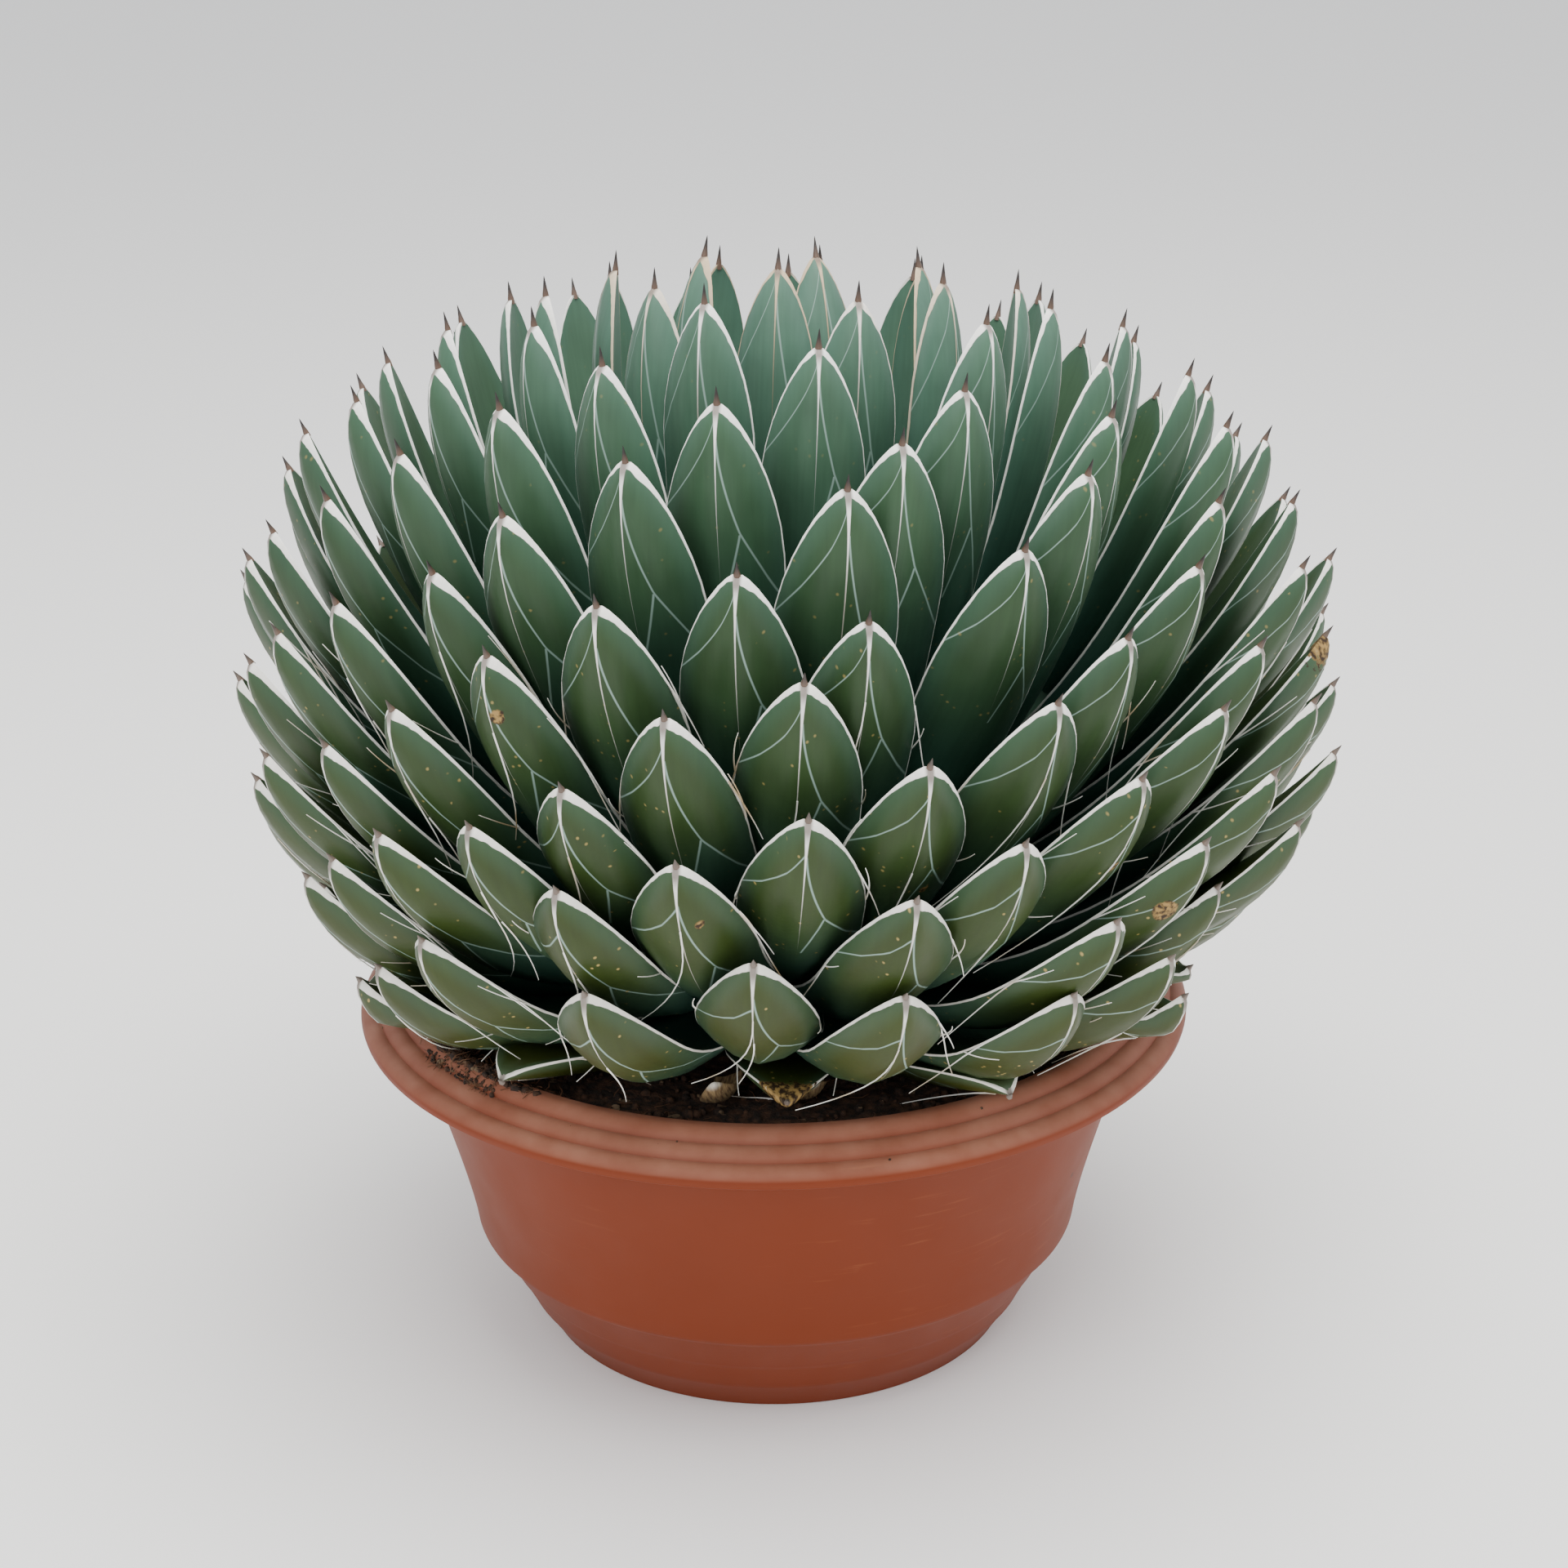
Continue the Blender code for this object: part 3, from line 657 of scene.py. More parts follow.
def leafMaterial():
    # thick waxy agave cuticle: satin, bluish green in the crown, olive on old leaves, the crown's lightness
    # partly painted top light and sheen, darker towards the root by painted shade; white horn on the edges
    # and keel, and pale prints that other leaves' edges pressed into it
    material, tree, shader = newMaterial("waxyAgaveLeaf")
    value = {}
    for name in ("fromTip", "acrossMm", "edgeMm", "share", "leafRandom", "number", "back"):
        value[name] = addNode(tree, "Attribute", attribute_name=name).node.outputs["Fac"]
    place = addNode(tree, "TexCoord").node.outputs["Object"]
    fromTip, share, spread = value["fromTip"], value["share"], value["leafRandom"]
    off = addNode(tree, "Math ABSOLUTE", [value["acrossMm"]])
    half = addNode(tree, "Math ADD", [off, value["edgeMm"]])
    right = addNode(tree, "Math GREATER_THAN", [value["acrossMm"], 0.0])
    leafPlace = addNode(tree, "CombineXYZ", [value["acrossMm"], fromTip,
                                             addNode(tree, "Math MULTIPLY", [value["number"], 9.0])])
    streakPlace = addNode(tree, "VectorMath MULTIPLY", [leafPlace, (0.5, 0.05, 1)])

    # flesh: the ramp keeps its two ends and gets the stops between them
    # partly painted light: the ramp by age makes the crown lighter and bluer and the low leaves darker
    ramp = addNode(tree, "ValToRGB", [share]).node
    stops = ramp.color_ramp.elements
    stops[0].color = hexLinear(flesh["stops"][0][1])
    stops[1].color = hexLinear(flesh["stops"][-1][1])
    for at, code in flesh["stops"][1:-1]:
        stops.new(at).color = hexLinear(code)
    # painted shade: the flesh darkens and turns bluer towards the root, where the rosette shades it
    deep = addNode(tree, "MapRange",
                   {"Value": fromTip, "From Min": flesh["rootShadeFrom"], "From Max": flesh["rootShadeTo"],
                    "To Max": flesh["rootShadeShare"]},
                   interpolation_type="SMOOTHSTEP")
    colour = addNode(tree, "Mix", [deep, ramp.outputs[0], hexLinear(flesh["rootShadeHex"])], data_type="RGBA")
    colour = mottle(tree, colour, addNode(tree, "TexNoise", {"Vector": place, "Scale": 45.0}), 0.22)
    colour = mottle(tree, colour, addNode(tree, "TexNoise", {"Vector": streakPlace, "Scale": 1.0}), 0.16)
    bloom = below(tree, value["edgeMm"], flesh["bloomWidth"], flesh["bloomWidth"])
    colour = addNode(tree, "Mix", [addNode(tree, "Math MULTIPLY", [bloom, 0.25]), colour,
                                   hexLinear(flesh["bloomHex"])], data_type="RGBA")

    # prints, scaled a little from leaf to leaf: d is how far down a middling leaf the same spot lies
    size = addNode(tree, "Math MULTIPLY_ADD", [spread, 0.3, 0.85])
    d = addNode(tree, "Math DIVIDE", [fromTip, size])
    part = addNode(tree, "Math DIVIDE", [off, half])
    lowStart, highStart = printed["arcStart"]
    start = addNode(tree, "MapRange",
                    {"Value": share, "From Min": 0.35, "From Max": 0.75, "To Min": lowStart,
                     "To Max": highStart})
    run = addNode(tree, "Math SUBTRACT", [printed["arcEnd"], start])
    arc = addNode(tree, "Math MULTIPLY_ADD",
                  [addNode(tree, "Math POWER", [part, printed["arcPower"]]), run, start])
    arc = addNode(tree, "Math ABSOLUTE", [addNode(tree, "Math SUBTRACT", [d, arc])])
    arc = below(tree, arc, printed["arcWidth"], 0.3)
    arc = addNode(tree, "Math MULTIPLY", [arc, addNode(tree, "Math SUBTRACT", [1.0, right])])
    fork, forkAcross, first = printed["fork"], printed["forkAcross"], printed["lineStart"]
    early = addNode(tree, "Math MAXIMUM", [addNode(tree, "Math SUBTRACT", [d, first]), 0.0])
    early = addNode(tree, "Math POWER", [addNode(tree, "Math DIVIDE", [early, fork - first]), 1.15])
    early = addNode(tree, "Math MULTIPLY_ADD", [early, forkAcross - 0.03, 0.03])
    slope = (1 - forkAcross) / (printed["lineEnd"] - fork)
    late = addNode(tree, "Math MULTIPLY_ADD",
                   [addNode(tree, "Math SUBTRACT", [d, fork]), slope, forkAcross])
    line = addNode(tree, "Math MULTIPLY", [addNode(tree, "Math MAXIMUM", [early, late]), half])
    past = addNode(tree, "Math SUBTRACT", [off, line])
    line = below(tree, addNode(tree, "Math ABSOLUTE", [past]), printed["lineWidth"], 0.2)
    line = addNode(tree, "Math MULTIPLY", [line, addNode(tree, "Math GREATER_THAN", [d, first])])
    slope = (printed["branchAcross"] - forkAcross) / (printed["branchEnd"] - fork - 1)
    beyondFork = addNode(tree, "Math GREATER_THAN", [d, fork + 1])
    branch = addNode(tree, "Math MULTIPLY_ADD",
                     [addNode(tree, "Math SUBTRACT", [d, fork + 1]), slope, forkAcross])
    inside = addNode(tree, "Math SUBTRACT", [off, addNode(tree, "Math MULTIPLY", [branch, half])])
    between = addNode(tree, "Math MULTIPLY",
                      [beyondFork, addNode(tree, "Math LESS_THAN", [d, printed["branchEnd"]])])
    branch = below(tree, addNode(tree, "Math ABSOLUTE", [inside]), 0.4, 0.2)
    branch = addNode(tree, "Math MULTIPLY", [branch, between])
    prints = addNode(tree, "Math MULTIPLY", [addNode(tree, "Math MAXIMUM", [line, branch]), right])
    prints = addNode(tree, "Math MULTIPLY", [addNode(tree, "Math MAXIMUM", [prints, arc]), value["back"]])
    # between line and branch some leaves show a paler patch
    patch = addNode(tree, "Math MULTIPLY", [spread, 0.5])
    for limit in (addNode(tree, "Math GREATER_THAN", [inside, 0.0]),
                  addNode(tree, "Math LESS_THAN", [past, 0.0]),
                  right, beyondFork, value["back"]):
        patch = addNode(tree, "Math MULTIPLY", [patch, limit])
    colour = addNode(tree, "Mix", [patch, colour, hexLinear(printed["patchHex"])], data_type="RGBA")
    colour = addNode(tree, "Mix", [addNode(tree, "Math MULTIPLY", [prints, 0.8]), colour,
                                   hexLinear(printed["hex"])], data_type="RGBA")

    # small tan flecks in loose clusters, mostly on old leaves
    cell = addNode(tree, "TexVoronoi", {"Vector": leafPlace, "Scale": 1 / flesh["fleckSize"]}).node
    chosen = addNode(tree, "SeparateColor", [cell.outputs["Color"]])
    rare = addNode(tree, "MapRange",
                   {"Value": addNode(tree, "TexNoise", {"Vector": leafPlace, "Scale": 0.06, "Detail": 1.0}),
                    "From Min": 0.45, "From Max": 0.72,
                    "To Min": 0.99, "To Max": 0.78})
    fleck = below(tree, cell.outputs["Distance"], 0.2, 0.12)
    fleck = addNode(tree, "Math MULTIPLY", [fleck, addNode(tree, "Math GREATER_THAN", [chosen, rare])])
    fleck = addNode(tree, "Math MULTIPLY", [fleck, addNode(tree, "Math MULTIPLY", [share, 1.5])])
    colour = addNode(tree, "Mix", [fleck, colour, hexLinear(flesh["fleckHex"])], data_type="RGBA")

    # horn: a broad white cap that thins to a line along both edges, and a keel line that breaks off
    fade = addNode(tree, "Math EXPONENT", [addNode(tree, "Math DIVIDE", [fromTip, -horny["fade"]])])
    uneven = addNode(tree, "Math MULTIPLY_ADD",
                     [addNode(tree, "TexNoise", {"Vector": leafPlace, "Scale": 0.16}), 1.2,
                      addNode(tree, "Math MULTIPLY", [right, 0.35])])
    edge = addNode(tree, "Math MULTIPLY",
                   [addNode(tree, "Math MULTIPLY_ADD", [fade, horny["cap"], horny["line"]]), uneven])
    sides = addNode(tree, "Math MULTIPLY_ADD",
                    [value["back"], 1 - horny["frontShare"], horny["frontShare"]])
    edge = below(tree, value["edgeMm"], addNode(tree, "Math MULTIPLY", [edge, sides]), 0.12)
    shortest, longest = horny["keelLength"]
    keelEnd = addNode(tree, "Math MULTIPLY_ADD", [spread, longest - shortest, shortest])
    left = addNode(tree, "Math SUBTRACT", [1.0, addNode(tree, "Math DIVIDE", [fromTip, keelEnd])])
    keel = addNode(tree, "Math MULTIPLY_ADD", [fade, horny["keelCap"], horny["keelLine"]])
    keel = below(tree, off, addNode(tree, "Math MULTIPLY", [keel, left]), 0.2)
    keel = addNode(tree, "Math MULTIPLY", [keel, value["back"]])
    horn = addNode(tree, "Math MAXIMUM", [edge, keel])
    white = addNode(tree, "Mix", [share, hexLinear(horny["youngHex"]), hexLinear(horny["oldHex"])],
                    data_type="RGBA")
    heart = addNode(tree, "Math MULTIPLY", [below(tree, share, 0.05, 0.03), 0.8])
    white = addNode(tree, "Mix", [heart, white, hexLinear(horny["heartHex"])], data_type="RGBA")
    tanned = addNode(tree, "MapRange",
                     {"Value": fromTip, "From Min": 14.0, "From Max": 34.0, "To Max": 0.75})
    tanned = addNode(tree, "Math MULTIPLY", [addNode(tree, "Math MULTIPLY", [tanned, keel]), spread])
    white = addNode(tree, "Mix", [tanned, white, hexLinear(horny["tanHex"])], data_type="RGBA")
    stain = addNode(tree, "Math MULTIPLY", [below(tree, fromTip, 3.5, 2.0), below(tree, off, 1.5, 0.8)])
    white = addNode(tree, "Mix", [addNode(tree, "Math MULTIPLY", [stain, 0.85]), white,
                                  hexLinear(horny["stainHex"])], data_type="RGBA")
    white = mottle(tree, white, addNode(tree, "TexNoise", {"Vector": leafPlace, "Scale": 0.5}), 0.12)
    colour = addNode(tree, "Mix", [horn, colour, white], data_type="RGBA")

    # wounds that healed over, and tips that dried back
    bark = addNode(tree, "TexNoise", {"Vector": leafPlace, "Scale": 0.55})
    patchy = addNode(tree, "MapRange", {"Value": bark, "From Min": 0.4, "From Max": 0.6})
    corked = addNode(tree, "Mix", [patchy, hexLinear("2f2012"), hexLinear("9a7c49")], data_type="RGBA")
    hurt = None
    for number, down, across, size in marked["scabs"]:
        gap = addNode(tree, "VectorMath DISTANCE", [leafPlace, (across, down, number * 9.0)])
        spot = below(tree, addNode(tree, "Math MULTIPLY_ADD", [bark, 2.4, gap]), size + 1.2, 0.35)
        hurt = addNode(tree, "Math MAXIMUM", [hurt, spot]) if hurt else spot
    for number, reach in marked["driedTips"]:
        same = addNode(tree, "Math COMPARE", [value["number"], float(number), 0.4])
        spot = below(tree, addNode(tree, "Math MULTIPLY_ADD", [bark, 14.0, fromTip]), reach + 7.0, 1.0)
        hurt = addNode(tree, "Math MAXIMUM", [hurt, addNode(tree, "Math MULTIPLY", [same, spot])])
    colour = addNode(tree, "Mix", [hurt, colour, corked], data_type="RGBA")
    tree.links.new(colour, shader.inputs["Base Color"])

    gloss = addNode(tree, "Math MULTIPLY_ADD",
                    [addNode(tree, "TexNoise", {"Vector": place, "Scale": 90.0}), 0.16, 0.38])
    gloss = addNode(tree, "Math MULTIPLY_ADD", [addNode(tree, "Math MAXIMUM", [horn, hurt]), 0.2, gloss])
    tree.links.new(gloss, shader.inputs["Roughness"])
    shader.inputs["Specular IOR Level"].default_value = 0.27
    relief = addNode(tree, "Math MULTIPLY_ADD", [bark, 0.15, horn])
    tree.links.new(addNode(tree, "Bump", {"Height": relief, "Distance": 0.35 * mm, "Strength": 0.8}),
                   shader.inputs["Normal"])
    return material


def spineMaterial():
    # hard thorn horn: brown at its foot, nearly black at the point, weathered grey on old leaves
    material, tree, shader = newMaterial("darkThornHorn")
    past = addNode(tree, "Attribute", attribute_name="beyond").node.outputs["Fac"]
    share = addNode(tree, "Attribute", attribute_name="share").node.outputs["Fac"]
    part = addNode(tree, "Math DIVIDE", [past, 4.5 * mm], use_clamp=True)
    colour = addNode(tree, "Mix", [part, hexLinear("5a4436"), hexLinear("1f1715")], data_type="RGBA")
    old = addNode(tree, "MapRange", {"Value": share, "From Min": 0.35, "From Max": 0.8, "To Max": 0.75})
    tree.links.new(addNode(tree, "Mix", [old, colour, hexLinear("7c7067")], data_type="RGBA"),
                   shader.inputs["Base Color"])
    shader.inputs["Roughness"].default_value = 0.45
    return material


def threadMaterial():
    # dry leaf fibre: chalky white, tan in places
    material, tree, shader = newMaterial("dryLeafFibre")
    place = addNode(tree, "TexCoord").node.outputs["Object"]
    part = addNode(tree, "MapRange", {"Value": addNode(tree, "TexNoise", {"Vector": place, "Scale": 30.0}),
                                      "From Min": 0.52, "From Max": 0.7})
    colour = addNode(tree, "Mix", [part, hexLinear("efece4"), hexLinear("b9a27c")], data_type="RGBA")
    tree.links.new(colour, shader.inputs["Base Color"])
    shader.inputs["Roughness"].default_value = 0.75
    return material


def sheathMaterial():
    # papery dead leaf: tan and brown, white where its fibres show
    material, tree, shader = newMaterial("driedLeafSheath")
    fromTip = addNode(tree, "Attribute", attribute_name="fromTip").node.outputs["Fac"]
    across = addNode(tree, "Attribute", attribute_name="acrossMm").node.outputs["Fac"]
    place = addNode(tree, "CombineXYZ", [across, addNode(tree, "Math MULTIPLY", [fromTip, 0.2])])
    part = addNode(tree, "MapRange", {"Value": addNode(tree, "TexNoise", {"Vector": place, "Scale": 0.9}),
                                      "From Min": 0.3, "From Max": 0.7})
    colour = addNode(tree, "Mix", [part, hexLinear("4f3520"), hexLinear("a58a60")], data_type="RGBA")
    pale = below(tree, fromTip, 1.5, 1.5)
    colour = addNode(tree, "Mix", [addNode(tree, "Math MULTIPLY", [pale, 0.7]), colour,
                                   hexLinear("e6e1d6")], data_type="RGBA")
    tree.links.new(colour, shader.inputs["Base Color"])
    shader.inputs["Roughness"].default_value = 0.85
    tree.links.new(addNode(tree, "Bump", {"Height": part, "Distance": 0.5 * mm}), shader.inputs["Normal"])
    return material


bases = {"radius": 122 * mm, "top": 192 * mm, "stem": 38 * mm, "sides": 64, "steps": 14}


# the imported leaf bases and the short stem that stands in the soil
def makeBases():
    lean = Matrix.Rotation(rosette["leanRight"], 4, "Y") @ Matrix.Rotation(-rosette["leanBack"], 4, "X")
    upright = Matrix.Translation(rosette["stemPlace"])
    low = -34 * mm
    outline = [(0, low), (bases["stem"], low), (bases["stem"], -8.5 * mm)]
    for k in range(bases["steps"]):
        rise = math.pi * (k / bases["steps"] * 0.74 - 0.24)
        outline.append((bases["radius"] * math.cos(rise), bases["top"] * (0.52 + 0.48 * math.sin(rise))))
    outline.append((0, bases["top"]))
    verts, faces = turned(outline, bases["sides"])
    spots = [(upright @ (lean if z > 0 else Matrix()) @ Vector((x, y, z))) for x, y, z in verts]
    material, tree, shader = newMaterial("shadedLeafBases")
    # pale green flesh of the leaf feet, dark because it lies deep
    place = addNode(tree, "TexCoord").node.outputs["Object"]
    colour = mottle(tree, hexLinear("2b4636"), addNode(tree, "TexNoise", {"Vector": place, "Scale": 40.0}),
                    0.3)
    tree.links.new(colour, shader.inputs["Base Color"])
    shader.inputs["Roughness"].default_value = 0.6
    return linkObject("leafBases", meshFrom("leafBases", spots, faces), material)


def makeRosette():
    tree = makeLeafTree()
    # an input such as Young taper takes the value that the dictionary calls youngTaper
    sizes = {}
    for name in leafInputs:
        words = name.split()
        sizes[name] = blade[words[0].lower() + "".join(word.title() for word in words[1:])]
    places = leafPlaces()
    jobs = [("leaves", bladeMesh(), leafMaterial(), places),
            ("spines", spineMesh(), spineMaterial(), places),
            ("sheaths", bladeMesh(), sheathMaterial(), sheathPlaces())]
    fibre = threadMaterial()
    for k, kind in enumerate(threads["kinds"]):
        rows = [row for row in places if row["share"] > 0.34 and (row["number"] * 5 + k * 3) % 7 < 2.5]
        jobs.append(("threads%d" % k, threadMesh("thread%d" % k, *kind), fibre, rows))
    pieces = {}
    for name, pattern, material, rows in jobs:
        points = linkObject(name + "Points", rowMesh(name + "Points", rows))
        shape = linkObject(name + "Pattern", pattern)
        mesh = bakeTree(tree, points, {**sizes, "Pattern": shape, "Surface": material})
        mesh.shade_smooth()
        mesh.set_sharp_from_angle(angle=math.radians(70))
        pieces[name] = linkObject(name, mesh)
        for helper in (points, shape):
            bpy.data.objects.remove(helper, do_unlink=True)
        print(name, len(mesh.polygons), "faces")
    pieces["leafBases"] = makeBases()
    for piece in pieces.values():
        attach(piece, "root")
    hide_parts("rosette")


makeRosette()
print("rosette made")


# bowl

bowl = {
    "rim": 180 * mm,
    "rimEdge": 147.5 * mm,
    "lip": 157 * mm,
    "lipHeight": 161.5 * mm,
    "wallTop": (160 * mm, 143.5 * mm),
    "wallFoot": (133.5 * mm, 48.5 * mm),
    "band": (119 * mm, 27 * mm),
    "foot": 103.5 * mm,
    "wall": 4 * mm,
    "ribs": 3,
    "ribRise": 1.3 * mm,
    "recess": 2.5 * mm,
    "pad": 26 * mm,
    "footRing": 12 * mm,
    "drains": 6,
    "drainRadius": 6 * mm,
    "drainCircle": 58 * mm,
    "sides": 176,
}


# the rim's top: round ribs with narrow grooves between, from the outer edge up to the lip
def rimRibs():
    edge = Vector((bowl["rim"], bowl["rimEdge"]))
    lip = Vector((bowl["lip"] + 1.8 * mm, bowl["lipHeight"]))
    along = lip - edge
    out = Vector((along.y, -along.x)).normalized()
    steps = 9
    points = []
    for k in range(bowl["ribs"] * steps + 1):
        rise = bowl["ribRise"] * abs(math.sin(math.pi * k / steps)) ** 0.7
        points.append(edge + along * (k / (bowl["ribs"] * steps)) + out * rise)
    return [tuple(point) for point in points]


def bowlOutline():
    foot, pad, recess = bowl["foot"], bowl["pad"], bowl["recess"]
    ring = foot - bowl["footRing"]
    bandR, bandZ = bowl["band"]
    footR, footZ = bowl["wallFoot"]
    topR, topZ = bowl["wallTop"]
    # from the middle of the underside out over the pad and the foot ring
    outline = [(0, 0), (pad, 0), (pad + 1 * mm, recess), (ring - 1 * mm, recess), (ring, 0),
               (foot - 1.2 * mm, 0), (foot - 0.3 * mm, 0.4 * mm), (foot, 1.3 * mm)]
    # the two steps under the wall, in millimetres off the band and off the foot of the wall
    for out, up in ((-7.4, -13.6), (-6.6, -12.8), (-6, -11.4), (-0.5, -0.9), (0, 0), (0.8, 1.1),
                    (1.6, 2.2)):
        outline.append((bandR + out * mm, bandZ + up * mm))
    for out, up in ((-6, -6), (-1.8, -2.6), (-0.5, -1.4)):
        outline.append((footR + out * mm, footZ + up * mm))
    for k in range(15):
        part = k / 14
        outline.append((footR + (topR - footR) * part ** 1.22, footZ + (topZ - footZ) * part))
    # under the rim, round its edge and over its ribs
    for out, up in ((-5, 0.4), (-1.6, 0.3), (-0.4, 1.1), (0, 2.5)):
        outline.append((bowl["rim"] + out * mm, topZ + up * mm))
    outline += rimRibs()
    # over the lip and down the inside
    for out, up in ((0.3, -0.1), (-1.2, -0.4), (-2.3, -1.6), (-2.5, -3.5)):
        outline.append((bowl["lip"] + out * mm, bowl["lipHeight"] + up * mm))
    wall = bowl["wall"]
    outline += [(topR - 1.2 * wall, 144.5 * mm), (footR + 10.5 * mm - wall, 92 * mm),
                (footR - wall, footZ + 1 * mm), (bandR - wall, bandZ + 3 * mm),
                (foot - 2 * mm, recess + 1.4 * wall), (foot - 2 * wall, recess + wall), (0, recess + wall)]
    return outline


def bowlMaterial():
    # injection-moulded terracotta-coloured polypropylene: satin, paler on top from dust and painted top
    # light, lightly scuffed on the wall
    material, tree, shader = newMaterial("mouldedTerracottaPlastic")
    place = addNode(tree, "TexCoord").node.outputs["Object"]
    split = addNode(tree, "SeparateXYZ", [place]).node.outputs
    turn = addNode(tree, "Math ARCTAN2", [split["Y"], split["X"]])
    colour = mottle(tree, hexLinear("6c2a0b"), addNode(tree, "TexNoise", {"Vector": place, "Scale": 14.0}),
                    0.07)
    wrapped = addNode(tree, "CombineXYZ", [addNode(tree, "Math MULTIPLY", [turn, 2.5]),
                                           addNode(tree, "Math MULTIPLY", [split["Z"], 260.0])])
    scuff = addNode(tree, "MapRange",
                    {"Value": addNode(tree, "TexNoise", {"Vector": wrapped, "Scale": 1.6, "Detail": 5.0}),
                     "From Min": 0.62, "From Max": 0.78, "To Max": 0.35})
    patch = addNode(tree, "MapRange", {"Value": addNode(tree, "TexNoise", {"Vector": place, "Scale": 9.0}),
                                       "From Min": 0.5, "From Max": 0.66})
    colour = addNode(tree, "Mix", [addNode(tree, "Math MULTIPLY", [scuff, patch]), colour,
                                   hexLinear("a3633f")], data_type="RGBA")
    # paler where the surface faces up: partly dust, partly painted top light
    normal = addNode(tree, "NewGeometry").node.outputs["Normal"]
    facing = addNode(tree, "SeparateXYZ", [normal]).node.outputs["Z"]
    dustAndTopLight = addNode(tree, "MapRange", {"Value": facing, "From Min": 0.2, "From Max": 0.9, "To Max": 0.48})
    uneven = addNode(tree, "MapRange",
                     {"Value": addNode(tree, "TexNoise", {"Vector": place, "Scale": 60.0, "Detail": 6.0}),
                      "From Min": 0.3, "From Max": 0.7, "To Min": 0.6, "To Max": 1.1})
    colour = addNode(tree, "Mix", [addNode(tree, "Math MULTIPLY", [dustAndTopLight, uneven]), colour,
                                   hexLinear("b98872")], data_type="RGBA")
    cell = addNode(tree, "TexVoronoi", {"Vector": place, "Scale": 55.0}).node
    speck = below(tree, cell.outputs["Distance"], 0.07, 0.03)
    chosen = addNode(tree, "SeparateColor", [cell.outputs["Color"]])
    speck = addNode(tree, "Math MULTIPLY", [speck, addNode(tree, "Math GREATER_THAN", [chosen, 0.93])])
    colour = addNode(tree, "Mix", [addNode(tree, "Math MULTIPLY", [speck, 0.8]), colour,
                                   hexLinear("3b241a")], data_type="RGBA")
    tree.links.new(colour, shader.inputs["Base Color"])
    shader.inputs["Specular IOR Level"].default_value = 0.22
    gloss = addNode(tree, "MapRange", {"Value": addNode(tree, "TexNoise", {"Vector": place, "Scale": 35.0}),
                                       "To Min": 0.45, "To Max": 0.62})
    tree.links.new(gloss, shader.inputs["Roughness"])
    matt = addNode(tree, "TexNoise", {"Vector": place, "Scale": 900.0})
    tree.links.new(addNode(tree, "Bump", {"Height": matt, "Distance": 0.05 * mm, "Strength": 0.5}),
                   shader.inputs["Normal"])
    return material


def makeBowl():
    verts, faces = turned(bowlOutline(), bowl["sides"])
    piece = linkObject("bowlWall", meshFrom("bowlWall", verts, faces), bowlMaterial())
    tools = bpy.data.collections.new("drainTools")
    bpy.context.scene.collection.children.link(tools)
    drills = []
    for k in range(bowl["drains"]):
        turn = 2 * math.pi * (k + 0.5) / bowl["drains"]
        radius = bowl["drainRadius"]
        verts, faces = turned([(0, -5 * mm), (radius, -5 * mm), (radius, 20 * mm), (0, 20 * mm)], 28)
        drill = bpy.data.objects.new("drill", meshFrom("drill", verts, faces))
        drill.location = (bowl["drainCircle"] * math.cos(turn), bowl["drainCircle"] * math.sin(turn), 0)
        tools.objects.link(drill)
        drills.append(drill)
    cut = piece.modifiers.new("drains", "BOOLEAN")
    cut.operand_type = "COLLECTION"
    cut.collection = tools
    cut.solver = "EXACT"
    bpy.context.view_layer.update()
    graph = bpy.context.evaluated_depsgraph_get()
    piece.data = bpy.data.meshes.new_from_object(piece.evaluated_get(graph))
    piece.modifiers.clear()
    for drill in drills:
        bpy.data.objects.remove(drill, do_unlink=True)
    bpy.data.collections.remove(tools)
    piece.data.shade_smooth()
    piece.data.set_sharp_from_angle(angle=math.radians(32))
    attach(piece, "root")
    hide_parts("bowl")
    print("bowl", len(piece.data.polygons), "faces")


makeBowl()


# soil

soil = {
    "height": 150 * mm,
    "bump": 1.1 * mm,
    "crumb": 1.5 * mm,
    "edge": 151.5 * mm,
    "hole": 38.3 * mm,
    "sides": 190,
    "rings": 62,
    "gap": 0.45 * mm,
}


def soilTop(x, y):
    low = noise.noise(Vector((x * 45, y * 45, 3.7)))
    fine = noise.noise(Vector((x * 260, y * 260, 8.1))) + 0.5 * noise.noise(Vector((x * 620, y * 620, 1.3)))
    return soil["height"] + soil["bump"] * low + soil["crumb"] * fine


def soilMaterial():
    # damp peat and coir mix: nearly black, with reddish brown fibre and a few pale grains
    material, tree, shader = newMaterial("dampPottingSoil")
    place = addNode(tree, "TexCoord").node.outputs["Object"]
    part = addNode(tree, "MapRange",
                   {"Value": addNode(tree, "TexNoise", {"Vector": place, "Scale": 220.0, "Detail": 6.0}),
                    "From Min": 0.42, "From Max": 0.7})
    colour = addNode(tree, "Mix", [part, hexLinear("231811"), hexLinear("553825")], data_type="RGBA")
    cell = addNode(tree, "TexVoronoi", {"Vector": place, "Scale": 330.0}).node
    pale = addNode(tree, "Math GREATER_THAN",
                   [addNode(tree, "SeparateColor", [cell.outputs["Color"]]), 0.975])
    colour = addNode(tree, "Mix", [addNode(tree, "Math MULTIPLY", [pale, 0.6]), colour,
                                   hexLinear("8b7358")], data_type="RGBA")
    tree.links.new(colour, shader.inputs["Base Color"])
    shader.inputs["Roughness"].default_value = 0.92
    grit = addNode(tree, "TexNoise", {"Vector": place, "Scale": 480.0, "Detail": 6.0})
    tree.links.new(addNode(tree, "Bump", {"Height": grit, "Distance": 0.9 * mm}), shader.inputs["Normal"])
    return material


